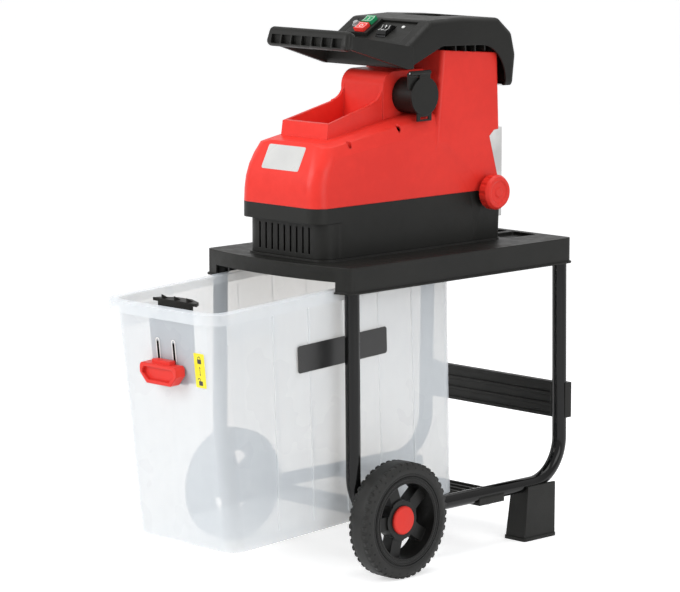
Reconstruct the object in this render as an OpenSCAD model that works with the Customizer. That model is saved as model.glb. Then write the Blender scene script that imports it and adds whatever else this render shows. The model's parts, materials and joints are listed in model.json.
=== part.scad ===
// Electric roller shredder for garden waste, on a wheeled tube stand with a pull-out collecting bin.
// The front, with the bin and the handle, faces -Y. The floor is Z = 0.

/* [Stand] */
// Diameter of the steel frame tube
tube_d = 25; // [20:0.5:30]
// Wall of the frame tube
tube_wall = 1.5; // [1:0.1:3]
// Distance between the bottom rails, centre to centre
rail_span = 326; // [310:1:350]
// How far each side frame leans in between its rail and the table
frame_lean = 5; // [1:0.5:10]
// Front legs to rear legs, centre to centre
leg_span = 509; // [490:1:540]
// Radius of the tube bends at their middle line
bend_r = 75; // [55:1:90]
// Width of the ribbed cross mouldings
brace_w = 62; // [50:1:70]
// Thickness of the ribbed cross mouldings
brace_t = 12; // [8:0.5:14]
// Number of ribs on each cross moulding
brace_ribs = 4; // [3:1:5]
// Height of the rear panel's middle above the floor
panel_z = 236; // [180:1:300]
// Length of each foot
foot_l = 82; // [60:1:100]
// Width of each foot at its sole
foot_w = 49; // [44:1:60]

/* [Table] */
// Height of the table's top above the floor
table_h = 522; // [514:1:540]
// Height of the table's skirt
skirt_h = 44; // [38:1:50]
// Wall of the moulded table
table_t = 3; // [2:0.2:4]
// How far the table's front edge bows out
table_bow = 20; // [10:1:30]
// Corner radius of the table
table_r = 12; // [10:0.5:14]
// Height left of the front skirt above the bin
front_skirt_h = 25; // [18:1:25]

/* [Wheels] */
// Diameter over the tyre
wheel_d = 195; // [185:1:205]
// Width over the tyre
wheel_w = 46; // [42:1:50]
// Diameter where the tyre meets the rim
rim_d = 159; // [150:1:166]
// Number of spokes
spokes = 5; // [4:1:7]
// Width of a spoke
spoke_w = 23; // [16:1:28]
// Diameter of the axle bolt
axle_d = 10; // [8:0.5:12]
// Diameter of the hub cap
cap_d = 48; // [42:1:54]
// Axle behind the front legs
axle_back = 66; // [62:1:90]

/* [Bin] */
// Width over the rim
bin_w = 282; // [262:1:284]
// Length of the floor
bin_floor_l = 522; // [500:1:524]
// Height over the rim
bin_h = 399; // [380:1:400]
// How far the front wall leans out at the top
bin_front_draft = 23; // [10:1:30]
// How far each side wall leans out at the top
bin_side_draft = 6; // [2:0.5:10]
// Wall of the bin
bin_wall = 2.6; // [2:0.1:4]
// Depth of the rim band
rim_band = 18; // [12:1:24]
// How far the rim stands out from the walls
rim_out = 15; // [10:0.5:16]
// How far the bin stands out of the stand
bin_out = 215; // [180:1:224]
// Slope of the bin's runway, falling to the front
bin_tilt = 3; // [2:0.1:3.2]

/* [Latch] */
// Width of the latch knob
knob_w = 88; // [70:1:96]
// Height of the latch knob
knob_h = 33; // [28:1:40]
// Depth of the latch knob in front of the wall
knob_depth = 22.5; // [18:0.5:28]
// Height of the knob's middle above the bin's floor
knob_z = 289; // [270:1:292]
// Travel of the latch
latch_travel = 20; // [12:1:21]
// Width of the latch plate
latch_w = 82; // [70:1:100]

/* [Housing] */
// Half width of the housing at its parting line
body_half = 97; // [94:0.5:100]
// Height of the parting line above the table
parting_h = 89; // [84:1:94]
// Front of the housing ahead of the table's middle
body_front = 269; // [262:1:276]
// Rear of the housing behind the table's middle
body_rear = 171; // [169:1:176]
// Wall of the moulded housing
wall = 3; // [2:0.2:4]
// Radius of the housing's front corners
corner_r = 28; // [22:1:34]
// Radius of the front's backward lean
front_lean_r = 100; // [92:1:112]
// Slope of the housing's shoulders, rising to the rear
deck_slope = 8.4; // [5:0.1:9]
// Number of air slots in the front
vents = 9; // [7:1:10]
// Width of an air slot
vent_w = 4; // [3:0.5:5]

/* [Tower] */
// How far the tower stands proud of the body's sides
tower_proud = 4; // [3:0.5:7]
// How far each side of the tower leans in at the top
tower_draft = 10; // [8:0.5:13]
// Height of the tower's front edge above the table
tower_h = 334; // [330:1:338]
// Front of the tower behind the table's middle
tower_front = 34; // [28:1:38]
// Slope of the tower's top, falling to the rear
tower_slope = 4.7; // [3:0.1:6]

/* [Pocket] */
// Half width of the neck
pocket_half = 50; // [46:1:54]
// How much wider each side of the pocket is at its front
pocket_flare = 6; // [2:1:8]
// Wall of the pocket
pocket_wall = 6; // [4:0.5:8]
// Front of the pocket ahead of the table's middle
pocket_front = 203; // [198:1:206]
// Front of the neck ahead of the table's middle
neck_front = 70; // [66:1:76]
// Height of the neck above the table
neck_h = 301; // [296:1:304]

/* [Hood] */
// How far the hood reaches out over the tower's sides
hood_over = 2; // [1:0.5:5]
// Height of the hood's top above the table
hood_h = 388; // [384:1:392]
// Edge radius of the hood
hood_r = 12; // [9:0.5:14]
// Wall of the hood
hood_wall = 3; // [2:0.2:4]
// Radius of the arch in the hood's sides
arch_r = 60; // [54:1:64]
// Half length of the handle bar
handle_half = 97; // [86:1:100]
// Height of the handle bar
handle_h = 33; // [28:1:38]
// Depth of the handle bar
handle_d = 26; // [22:1:30]
// Number of cells in the handle's front
handle_cells = 7; // [5:1:8]

/* [Controls] */
// Slope of the control panel
panel_slope = 30.3; // [26:0.1:34]
// Half width of the control panel
panel_half = 72; // [66:1:76]
// Length of the control panel along its slope
panel_l = 58; // [54:1:62]
// Travel of the push buttons
button_travel = 3; // [2:0.5:4]
// Swing of the direction rocker to each side
rocker_swing = 8; // [4:1:10]

/* [Mains inlet] */
// Outer diameter of the inlet shroud
inlet_d = 60; // [54:1:64]
// Wall of the inlet shroud
inlet_wall = 4; // [3:0.5:5]
// Diameter of the inlet lid
lid_d = 65; // [62:1:70]
// Thickness of the inlet lid
lid_t = 4; // [3:0.5:6]
// Diameter of the lid's hinge pin
lid_pin_d = 3; // [2.5:0.5:4]

/* [Drive] */
// Outer diameter of the motor
motor_d = 116; // [108:1:118]
// Module of the gear teeth
gear_m = 1.5; // [1.4:0.05:1.5]
// Teeth of each pinion
pinion_teeth = 12; // [12:1:13]
// Teeth of the intermediate gear
idler_teeth = 48; // [46:1:50]
// Teeth of the drum gear
drum_teeth = 60; // [58:1:62]
// Height of the drum's axis above the table
drum_h = 83; // [80:1:86]
// Diameter of the cutter drum
drum_d = 88; // [80:1:90]
// Length of the cutter drum
drum_l = 84; // [78:1:86]
// Number of cutting edges on the drum
drum_blades = 8; // [6:1:10]
// Diameter of the drum shaft
drum_shaft_d = 20; // [16:1:24]

/* [Adjuster] */
// Diameter of the adjusting knob
adjuster_d = 60; // [52:1:64]
// Length of the adjusting knob
adjuster_l = 22; // [18:1:26]
// Diameter of the adjusting screw
adjuster_screw_d = 10; // [8:0.5:12]
// Adjusting axis behind the table's middle
adjuster_y = 133; // [126:1:134]
// Travel of the pressure plate to each side
plate_travel = 2; // [1:0.5:3]

/* [Hidden] */
$fn = 48;

// Clearances
run_gap = 0.05;   // round parts that turn in each other
seat_gap = 0.1;   // parts that sit on or around each other
slide_gap = 0.3;  // parts that slide past each other
eps = 0.5;        // overshoot of a cutter past the face that it opens
level_t = 0.2;    // thickness of the outlines that a hull joins

// Colours
black = [0.14, 0.14, 0.13];
red = [0.85, 0.18, 0.15];
steel = [0.7, 0.7, 0.72];
alloy = [0.78, 0.78, 0.76];
clear = [0.9, 0.92, 0.93, 0.6];

// Stand, worked out
rail_z = wheel_d / 2;
front_leg_y = -251;
rear_leg_y = front_leg_y + leg_span;
leg_top = table_h - table_t - 1 - rail_z;
lean = atan(frame_lean / leg_top);
table_leg_x = rail_span / 2 - frame_lean;
table_half = table_leg_x + tube_d / 2 + 2.8;
table_front = front_leg_y - tube_d / 2 - 6.9;
table_rear = rear_leg_y + tube_d / 2 + 4.9;
table_mid_y = (table_front + table_rear) / 2;
skirt_z = table_h - skirt_h;
skirt_lip = 3;
bow_half = table_half - table_r;
bow_r = (pow(bow_half, 2) + pow(table_bow, 2)) / (2 * table_bow);
socket_wall = 1.8;
corner_leg = 30;
screw_d = 5;
screw_head_d = 10;
screw_head_h = 3.5;

// Wheels and axle
axle_y = front_leg_y + axle_back;
wheel_x = rail_span / 2 + tube_d / 2 + 2.5;
washer_t = wheel_x - slide_gap - rail_span / 2 - tube_d / 2 - seat_gap;
hub_r = 30;
window_r = rim_d / 2 - 16;
cap_seat = wheel_w - 13;
nut_h = 8;
nut_flats = 1.7 * axle_d;

// Bin runway and place
floor_half = bin_w / 2 - rim_out - bin_side_draft;
bin_rear_in = rear_leg_y - 2.5;
bin_y = bin_rear_in - bin_out - bin_floor_l * cos(bin_tilt);
bin_z = 72;
bin_corner_r = 26;
rim_front = -bin_front_draft - rim_out;
rim_rear = bin_floor_l + 3 + rim_out;

// Runway height below the bin's floor at a place along the stand
function runway(y) = bin_z + (y - bin_y) * tan(bin_tilt);
rear_brace_y = 40;
front_brace_y = -150;

// Front wall of the bin, measured at a height above its floor
function bin_front(z) = -bin_front_draft * z / bin_h;
plate_y = bin_front(bin_h) + 27;
plate_t = 3;
slot_x = 19;
slot_w = 5;
slot_top = 340;
shank_z = knob_z + 10;
tab_h = 6;
knob_front = bin_front(knob_z) - knob_depth;
front_reach = bin_y + min(
    knob_front * cos(bin_tilt) - (knob_z + knob_h / 2) * sin(bin_tilt),
    rim_front * cos(bin_tilt) - bin_h * sin(bin_tilt)
);
saddle_t = 4;
rear_reach = max(table_rear + skirt_lip, rear_leg_y + tube_d / 2 + saddle_t + screw_head_h);
row_y = -(front_reach + rear_reach) / 2;

// Housing, worked out
plinth_h = 3;
base_z = table_h + plinth_h;
parting_z = table_h + parting_h;
lip_z = parting_z - 26;
base_half = body_half - 2;
base_front = body_front - 17;
lean_z = parting_z + 21;
shoulder_r = 20;
shoulder_z = lean_z + 62;
edge_back = 31;
deck_rise = (body_front + 160) * tan(deck_slope);
ramp_y = -73;
ramp_z = parting_z - 59;
ramp_r = 177;
ramp_w = 26;
tower_half = body_half + tower_proud;
tower_top_half = tower_half - tower_draft;
tower_top_z = table_h + tower_h;
tower_rear_z = tower_top_z - (body_rear - tower_front) * tan(tower_slope);
screw_post_x = body_half - 13;
screw_post_y = [-185, -69];
screw_seat_z = parting_z + 45;
post_d = 12;
neck_z = table_h + neck_h;
neck_r = 28;
rim_z = table_h + 222;
pocket_lean = 0.15;
pocket_floor_z = table_h + 203;

// Hood, worked out
hood_half = tower_half + hood_over;
hood_z = table_h + hood_h;
hood_draft = 0.055;
hood_front_y = -64;
hood_low_z = hood_z - 80;
hood_rear_low_z = hood_z - 122;
arch_z = hood_z - 49;
arch_y = 118;
panel_y = -30;
panel_mid_z = hood_z - 22.5;
panel_t = 3;
handle_y = -203;
handle_z = hood_z - 44;
arm_t = 9;
feed_half = 42;
feed_front = 70;
feed_rear = 154;
chute_wall = 2.5;

// Mains inlet
inlet_y = -18;
inlet_z = table_h + 260;
inlet_mouth = 94;
lid_hinge_z = inlet_z + 40;
lid_hinge_x = inlet_mouth + 2.5;
knuckle_d = lid_pin_d + 5;
lug_w = 21;
lid_tab = 13;
inlet_back = pocket_half - wall - 8;
contact_d = 4.8;

// Drive: the axes lie along Y, at these places across the machine
motor_axis = [0, table_h + 128];
drum_axis = [-22, table_h + drum_h];
stage_1 = gear_m * (pinion_teeth + idler_teeth) / 2;
stage_2 = gear_m * (pinion_teeth + drum_teeth) / 2;
axis_gap = norm(motor_axis - drum_axis);
axis_dir = (drum_axis - motor_axis) / axis_gap;
along = (pow(stage_1, 2) - pow(stage_2, 2) + pow(axis_gap, 2)) / (2 * axis_gap);
across = sqrt(pow(stage_1, 2) - pow(along, 2));
idler_axis = motor_axis + along * axis_dir + across * [-axis_dir[1], axis_dir[0]];
pressure_angle = 25;
backlash = 0.12;
motor_front = -215;
motor_rear = -70;
shield_t = 9;
stage_1_y = -48;
stage_1_w = 16;
stage_2_y = -24;
stage_2_w = 26;
rotor_r = 31;
motor_shaft_r = 6;
motor_bearing_r = 14;
motor_bearing_w = 8;
idler_shaft_r = 5;
drum_bearing_r = 19;
drum_bearing_w = 8;
cutter_front = 60;
chamber_front = 70;
chamber_rear = chamber_front + drum_l + 4;
cutter_rear = body_rear + 9;
cutter_half = 78;
flange_half = tower_half - 9;
flange_front = 138;
flange_z = [table_h + 40, table_h + 194];
case_front = motor_rear;
case_half = 74;
case_z = [table_h + 26, table_h + 172];
case_wall = 5;
cap_r = 18;

// Adjuster
adjuster_z = table_h + 87;
adjuster_x = tower_half + 8;
plate_face = drum_axis[0] + drum_d / 2 + 4;
plate_thick = 16;
plate_h = 56;

// Shared shapes

// Rectangle with round corners, centred
module rounded(w, d, r) {
    square([w - 2 * r, d], center = true);
    square([w, d - 2 * r], center = true);
    for (x = [-1, 1], y = [-1, 1]) {
        translate([x * (w / 2 - r), y * (d / 2 - r)]) circle(r);
    }
}

// Cylinder along X from a point
module x_rod(r, l) {
    rotate([0, 90, 0]) cylinder(r = r, h = l);
}

// Cylinder along Y from a point
module y_rod(r, l) {
    rotate([-90, 0, 0]) cylinder(r = r, h = l);
}

// A drawing in Y and Z made solid across X
module across_x(half) {
    translate([-half, 0, 0]) rotate([90, 0, 90]) linear_extrude(2 * half) children();
}

// Copy on both sides of the machine
module both_sides() {
    children();
    mirror([1, 0, 0]) children();
}

// The chosen side of the machine
module on_side(side) {
    mirror([side < 0 ? 1 : 0, 0, 0]) children();
}

// Everything moves from the table's middle to the middle of the whole object
module in_frame() {
    translate([0, row_y, 0]) children();
}

// Pan-head screw along +Z, with its head's seat at the origin
module screw(length) {
    translate([0, 0, -screw_head_h]) cylinder(d = screw_head_d, h = screw_head_h);
    cylinder(d = screw_d, h = length);
}

// Stand

// From the flat drawing of a side frame to its leaning place on the +X side
module lean_frame() {
    translate([rail_span / 2, 0, rail_z]) rotate([0, -lean, 0]) children();
}

module tube_path(d, extra) {
    translate([0, front_leg_y + bend_r, 0]) y_rod(d / 2, leg_span - 2 * bend_r);
    translate([0, front_leg_y, bend_r]) cylinder(d = d, h = leg_top - bend_r + extra);
    translate([0, rear_leg_y, bend_r]) cylinder(d = d, h = leg_top - bend_r + extra);
    translate([0, front_leg_y + bend_r, bend_r]) tube_bend(d, 180);
    translate([0, rear_leg_y - bend_r, bend_r]) tube_bend(d, 270);
}

module tube_bend(d, turn) {
    rotate([90, 0, 90]) rotate([0, 0, turn])
        rotate_extrude(angle = 90) translate([bend_r, 0]) circle(d = d);
}

module frame_tube(side) {
    color(black) on_side(side) difference() {
        lean_frame() difference() {
            tube_path(tube_d, 0);
            tube_path(tube_d - 2 * tube_wall, 1);
        }
        translate([wheel_x - 60, axle_y, rail_z]) x_rod(axle_d / 2 + seat_gap, 80);
        panel_screw_place() cylinder(d = screw_d + 2 * seat_gap, h = 10);
        for (y = [front_brace_y, rear_brace_y]) {
            brace_screw_place(y) cylinder(d = screw_d + 2 * seat_gap, h = 10);
        }
        foot_screw_place() cylinder(d = screw_d + 2 * seat_gap, h = 16);
    }
}

// Outline of the table, drawn in by g
module table_plan(g) {
    translate([0, table_mid_y])
        rounded(2 * (table_half - g), table_rear - table_front - 2 * g, table_r - g);
    intersection() {
        translate([0, table_front - table_bow + bow_r]) circle(bow_r - g, $fn = 180);
        translate([-bow_half, table_front - table_bow - 5]) square([2 * bow_half, table_bow + 3 * table_r]);
    }
}

module discharge_plan(g) {
    translate([-feed_half - 13 + g, chamber_front - 3 + g])
        square([2 * feed_half + 26 - 2 * g, chamber_rear - chamber_front + 6 - 2 * g]);
}

module table_recess_plan(g) {
    for (r = [[-74, 56], [0, 68], [74, 56]]) {
        translate([r[0], table_rear - 50]) rounded(r[1] - 2 * g, 72 - 2 * g, 6 - g);
    }
}

module stand_table() {
    recess = 6;
    color(black) difference() {
        union() {
            translate([0, 0, table_h - table_t]) linear_extrude(table_t) table_plan(0);
            translate([0, 0, skirt_z]) linear_extrude(skirt_h - table_t) difference() {
                table_plan(0);
                table_plan(table_t);
            }
            translate([0, 0, skirt_z]) linear_extrude(skirt_lip) difference() {
                table_plan(-skirt_lip);
                table_plan(table_t);
            }
            translate([0, 0, table_h]) linear_extrude(plinth_h)
                base_plan(base_half + 3, base_front + 3, corner_r, body_rear + 3);
            translate([0, 0, table_h - recess - 2]) linear_extrude(recess) table_recess_plan(-2);
            both_sides() lean_frame() leg_sockets(tube_d / 2 + seat_gap + socket_wall, 2, table_t + 1.5);
            both_sides() for (i = [-2:2]) {
                translate([table_half - 24, table_mid_y + 80 * i, table_h - table_t - 8])
                    cube([24 - table_t / 2, table_t, 8 + eps]);
            }
        }
        both_sides() lean_frame() leg_sockets(tube_d / 2 + seat_gap, -5, 1);
        translate([0, 0, skirt_z - 1]) linear_extrude(skirt_h + plinth_h + 2) discharge_plan(0);
        translate([0, 0, table_h - recess]) linear_extrude(recess + 1) table_recess_plan(0);
        translate([corner_leg - table_half, table_front - table_bow - 10, skirt_z - 1])
            cube([2 * (table_half - corner_leg), table_bow + 40, skirt_h - front_skirt_h + 1]);
        for (x = [-1, 1], y = screw_post_y) {
            translate([x * screw_post_x, y, table_h - 20]) cylinder(d = screw_d + 2 * seat_gap, h = 60);
        }
    }
}

// Round sockets over the leg ends, in the flat drawing of a side frame
module leg_sockets(r, low, high) {
    z = skirt_z - rail_z + low;
    for (y = [front_leg_y, rear_leg_y]) {
        translate([0, y, z]) cylinder(r = r, h = leg_top + high - z - 0.5);
    }
}

// Ribbed board from x = -half to half, lying flat with its top at z = 0 and its front edge at y = 0
module ribbed_board(half) {
    rib_h = brace_t / 3;
    rib_w = 5;
    pitch = (brace_w - rib_w) / (brace_ribs - 1);
    translate([-half, 0, -brace_t]) cube([2 * half, brace_w, brace_t - rib_h]);
    for (i = [0:brace_ribs - 1]) {
        translate([-half, i * pitch, -rib_h - eps]) cube([2 * half, rib_w, rib_h + eps]);
    }
}

board_half = rail_span / 2 - tube_d / 2 - 1;
saddle_w = tube_d + 2;

module panel_screw_place() {
    x = rail_span / 2 - (panel_z - rail_z) * tan(lean);
    translate([x, rear_leg_y + tube_d / 2 + saddle_t, panel_z]) rotate([90, 0, 0]) children();
}

module brace_screw_place(y) {
    translate([rail_span / 2, y + brace_w / 2, rail_z - tube_d / 2 - saddle_t]) children();
}

module foot_screw_place() {
    translate([rail_span / 2, foot_mid_y, rail_z - tube_d / 2 - 10]) children();
}

module rear_panel() {
    half = board_half - (panel_z - rail_z) * tan(lean);
    color(black) difference() {
        union() {
            translate([0, rear_leg_y - brace_t / 2, panel_z - brace_w / 2]) rotate([90, 0, 0])
                ribbed_board(half + 2);
            both_sides() translate([half - 2, rear_leg_y - brace_t / 2, panel_z - brace_w / 2])
                cube([8, brace_t / 2 + tube_d / 2, brace_w]);
            both_sides() translate([half - 2, rear_leg_y, panel_z - brace_w / 2])
                cube([saddle_w + 2, tube_d / 2 + saddle_t, brace_w]);
        }
        both_sides() lean_frame() translate([0, rear_leg_y, 0])
            cylinder(d = tube_d + 2 * seat_gap, h = leg_top);
        both_sides() panel_screw_place() translate([0, 0, -1]) cylinder(d = screw_d + 2 * seat_gap, h = 12);
    }
}

module brace(y) {
    top = runway(y) - slide_gap;
    color(black) difference() {
        union() {
            translate([0, y, top]) ribbed_board(board_half + 1.5);
            both_sides() translate([board_half - 1, y, rail_z - tube_d / 2 - saddle_t])
                cube([saddle_w, brace_w, tube_d / 2 + saddle_t]);
        }
        both_sides() translate([rail_span / 2, y - 1, rail_z]) y_rod(tube_d / 2 + seat_gap, brace_w + 2);
        both_sides() brace_screw_place(y) translate([0, 0, -1]) cylinder(d = screw_d + 2 * seat_gap, h = 12);
    }
}

foot_mid_y = 193;
foot_top = rail_z;

module foot(side) {
    top_w = foot_w - 8;
    top_l = foot_l - 12;
    sole_h = 6;
    color(black) on_side(side) translate([rail_span / 2 - 9, foot_mid_y, 0]) difference() {
        union() {
            intersection() {
                across_x(foot_w) polygon([
                    [-foot_l / 2 + 2, 0], [foot_l / 2 - 2, 0], [top_l / 2, foot_top], [-top_l / 2, foot_top]
                ]);
                translate([0, foot_l, 0]) rotate([90, 0, 0]) linear_extrude(2 * foot_l) polygon([
                    [-foot_w / 2 + 2, 0], [foot_w / 2 - 2, 0], [top_w / 2 + 6, foot_top],
                    [-top_w / 2 + 8, foot_top]
                ]);
            }
            linear_extrude(sole_h) rounded(foot_w, foot_l, 4);
        }
        translate([9, -foot_l, rail_z]) y_rod(tube_d / 2 + seat_gap, 2 * foot_l);
        translate([9, 0, -1]) cylinder(d = screw_d + 2 * seat_gap, h = foot_top);
        translate([9, 0, -1]) cylinder(d = screw_head_d + 1, h = rail_z - tube_d / 2 - 9);
    }
}

module frame_screws() {
    color(steel) both_sides() {
        panel_screw_place() screw(8);
        for (y = [front_brace_y, rear_brace_y]) {
            brace_screw_place(y) screw(8);
        }
        foot_screw_place() screw(14);
    }
}

// Wheels

module axle_bolts() {
    color(steel) both_sides() translate([0, axle_y, rail_z]) {
        translate([rail_span / 2 - tube_d / 2 - 12, 0, 0])
            x_rod(axle_d / 2, wheel_x + cap_seat - 5 - rail_span / 2 + tube_d / 2 + 12);
        translate([wheel_x + cap_seat - 8 + slide_gap, 0, 0]) rotate([0, 90, 0])
            cylinder(d = 1.15 * nut_flats, h = 6, $fn = 6);
    }
}

module axle_nuts() {
    color(steel) both_sides()
    translate([rail_span / 2 - tube_d / 2 - seat_gap - nut_h, axle_y, rail_z]) difference() {
        rotate([0, 90, 0]) cylinder(d = 1.15 * nut_flats, h = nut_h, $fn = 6);
        translate([-1, 0, 0]) x_rod(axle_d / 2 + run_gap, nut_h + 2);
    }
}

module axle_washers() {
    color(steel) both_sides() translate([wheel_x - slide_gap - washer_t, axle_y, rail_z]) difference() {
        x_rod(axle_d, washer_t);
        translate([-1, 0, 0]) x_rod(axle_d / 2 + run_gap, washer_t + 2);
    }
}

// From a wheel drawn around Z, outer face up, to its place
module wheel_place(side) {
    on_side(side) translate([wheel_x, axle_y, rail_z]) rotate([0, 90, 0]) rotate([0, 0, -90]) children();
}

module wheel_rim(side) {
    rim_r = rim_d / 2;
    disc = [8, cap_seat - 3];
    color(black) wheel_place(side) difference() {
        rotate_extrude($fn = 96) difference() {
            union() {
                translate([axle_d / 2 + run_gap, 0]) square([16 - axle_d / 2, cap_seat]);
                translate([axle_d / 2 + run_gap, disc[0]]) square([hub_r, cap_seat - disc[0]]);
                translate([axle_d / 2 + run_gap, disc[0]]) square([rim_r - 10, disc[1] - disc[0]]);
                translate([window_r, 2]) square([rim_r - window_r, wheel_w - 3]);
                translate([rim_r - 3, 1]) square([3, wheel_w - 2]);
            }
            translate([0, cap_seat - 8]) square([cap_d / 2 - 2, 9]);
            translate([rim_r - 5.5, wheel_w - 3]) square([1.5, 4]);
        }
        translate([0, 0, -1]) linear_extrude(wheel_w + 2) difference() {
            circle(window_r, $fn = 96);
            circle(hub_r + 3);
            for (i = [0:spokes - 1]) {
                rotate(3 + i * 360 / spokes) translate([0, -spoke_w / 2]) square([rim_r, spoke_w]);
            }
        }
    }
}

tread_lugs = 30;
lug_cut = 5;

module tyre(side) {
    outer = wheel_d / 2;
    inner = rim_d / 2 + seat_gap;
    color([0.1, 0.1, 0.1]) wheel_place(side) difference() {
        rotate_extrude($fn = 96) polygon([
            [inner, 1], [inner, wheel_w - 1], [inner + 4, wheel_w], [outer - 8, wheel_w - 1],
            [outer - 2, wheel_w - 6], [outer, wheel_w - 12], [outer, 12], [outer - 2, 6],
            [outer - 8, 1], [inner + 4, 0]
        ]);
        for (i = [0:tread_lugs - 1], z = [-1, wheel_w - 8]) {
            rotate((i + (z < 0 ? 0.5 : 0)) * 360 / tread_lugs) translate([outer - 5, -lug_cut / 2, z])
                cube([10, lug_cut, 9]);
        }
    }
}

module hub_cap(side) {
    color(red) wheel_place(side) translate([0, 0, cap_seat]) {
        rotate_extrude() polygon([
            [0, 1.5], [cap_d / 2 - 6, 1.5], [cap_d / 2 - 6, -4], [cap_d / 2 - 2 - seat_gap, -4],
            [cap_d / 2 - 2 - seat_gap, 0],
            [cap_d / 2, 0], [cap_d / 2, 3], [cap_d / 2 - 2, 5], [0, 5.6]
        ]);
    }
}

// Bin, drawn level with its floor's front edge at the origin

module bin_place() {
    translate([0, bin_y, bin_z]) rotate([bin_tilt, 0, 0]) children();
}

// Tapered tub with round corners, drawn in by g
module tub_form(g, low, high) {
    hull() for (level = [0, 1]) {
        z = level == 0 ? low : high;
        half = floor_half + bin_side_draft * level - g;
        front = -bin_front_draft * level + g;
        rear = bin_floor_l + 3 * level - g;
        r = bin_corner_r - g;
        for (x = [-1, 1], y = [front + r, rear - r]) {
            translate([x * (half - r), y, z]) cylinder(r = r, h = level_t, $fn = 32);
        }
    }
}

module bin_rim_plan(g) {
    translate([0, (rim_front + rim_rear) / 2])
        rounded(bin_w - 2 * g, rim_rear - rim_front - 2 * g, bin_corner_r + rim_out - g);
}

module bin_tub() {
    rib = 4;
    color(clear) bin_place() difference() {
        union() {
            difference() {
                tub_form(0, 0, bin_h);
                tub_form(bin_wall, bin_wall, bin_h + eps);
            }
            translate([0, 0, bin_h - bin_wall]) linear_extrude(bin_wall) difference() {
                bin_rim_plan(0);
                bin_rim_plan(rim_out + bin_wall);
            }
            translate([0, 0, bin_h - rim_band]) linear_extrude(rim_band) difference() {
                bin_rim_plan(0);
                bin_rim_plan(bin_wall);
            }
            both_sides() for (i = [1:5]) {
                translate([floor_half - 1.2, 20 + i * 80, 20])
                    rotate([0, atan(bin_side_draft / bin_h), 0]) cube([rib, 3, bin_h - rim_band - 24]);
            }
        }
        tub_form(bin_wall, bin_wall, bin_h + eps);
        for (x = [-slot_x, slot_x]) {
            translate([x - slot_w / 2, bin_front(knob_z) - 12, shank_z - slot_w])
                cube([slot_w, 24, slot_top - shank_z + slot_w]);
        }
    }
}

// Slide plate behind the front wall, with the wedge-shaped tongue that enters the table
module latch_plate() {
    low = knob_z - 0.55 * knob_h;
    top = bin_h + 12;
    color(black) bin_place() difference() {
        union() {
            translate([-latch_w / 2, plate_y, low]) cube([latch_w, plate_t, top - low - 12]);
            translate([0, plate_y, top - 12]) linear_extrude(5) polygon([
                [-latch_w / 2 - 12, 0], [latch_w / 2 + 12, 0], [latch_w / 2 + 4, 12], [16, 24],
                [-16, 24], [-latch_w / 2 - 4, 12]
            ]);
            for (x = [-30, 0, 30]) {
                translate([x - 1.5, plate_y, top - 8]) rotate([90, 0, 90]) linear_extrude(3)
                    polygon([[0, 0], [14, 0], [0, 8]]);
            }
        }
        for (x = [-slot_x, slot_x]) {
            translate([x, plate_y - 1, shank_z]) y_rod(1.8, plate_t + 2);
        }
    }
}

// Front view of the grip, drawn in by g
module grip_plan(g) {
    half = knob_w / 2 - g;
    top = knob_h / 2 - g;
    polygon([
        [4 - half, top], [half - 4, top], [half, top - 5], [half, 0], [0.65 * half, -top],
        [-0.65 * half, -top], [-half, 0], [-half, top - 5]
    ]);
}

// Red grip with two shanks through the wall's slots
module latch_knob() {
    base_y = bin_front(knob_z + knob_h / 2 + tab_h + latch_travel) - 2 * slide_gap;
    shank = slot_w - 2 * slide_gap;
    color(red) bin_place() difference() {
        union() {
            translate([0, base_y, knob_z]) rotate([90, 0, 0]) linear_extrude(base_y - knob_front)
                grip_plan(0);
            translate([-slot_x - 3, base_y - 12, knob_z + knob_h / 2 - 1])
                cube([2 * slot_x + 6, 12, tab_h + 1]);
            for (x = [-slot_x, slot_x]) {
                translate([x - shank / 2, base_y - 1, shank_z - 3]) cube([shank, plate_y - base_y + 1, 6]);
            }
        }
        translate([0, knob_front + 6, knob_z]) rotate([90, 0, 0]) linear_extrude(7) grip_plan(6);
        for (x = [-slot_x, slot_x]) {
            translate([x, plate_y - 8, shank_z]) y_rod(1.2, 9);
        }
    }
}

// Housing

// Plan of the base: round front corners, near-square rear corners
module base_plan(half, front, r, rear) {
    rear_r = 10;
    translate([0, (rear - front) / 2]) square([2 * half, rear + front - 2 * r], center = true);
    translate([r - half, -front]) square([2 * (half - r), rear + front]);
    for (x = [-1, 1]) {
        translate([x * (half - r), r - front]) circle(r);
        translate([x * (half - rear_r), rear - rear_r]) circle(rear_r);
        translate([x * (half - r / 2) - r / 2, rear - r - 1]) square([r, r + 1 - rear_r]);
        translate([x * (half - (r + rear_r) / 2) - (r - rear_r) / 2, rear - r - 1])
            square([r - rear_r, r + 1]);
    }
}

// Proud rear part of the housing, from the table to the tower's top, drawn in by g
module tower_form(g) {
    r = 8;
    foot_half = base_half + 2;
    levels = [
        [base_z + g, foot_half], [parting_z, tower_half], [tower_top_z + 2, tower_top_half]
    ];
    hull() for (l = levels, x = [-1, 1]) {
        front = l[0] > parting_z ? tower_front : 0;
        for (y = [front + g + r, body_rear - g - r]) {
            translate([x * (l[1] - g - r), y, l[0]]) cylinder(r = r, h = level_t, $fn = 24);
        }
    }
}

// The cone that blends the proud part into the front body's side
module side_ramp(g) {
    inside = 12;
    slope = ramp_w / tower_proud;
    both_sides() translate([body_half - inside - g, ramp_y, ramp_z]) rotate([0, 90, 0]) cylinder(
        h = inside + tower_proud + 1, r1 = ramp_r - inside * slope - g,
        r2 = ramp_r + ramp_w + slope - g, $fn = 120
    );
}

module proud_part(g) {
    difference() {
        tower_form(g);
        side_ramp(g);
        translate([-200, -300, base_z - 50]) cube([400, 300 + tower_front - 22, 600]);
    }
}

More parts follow.
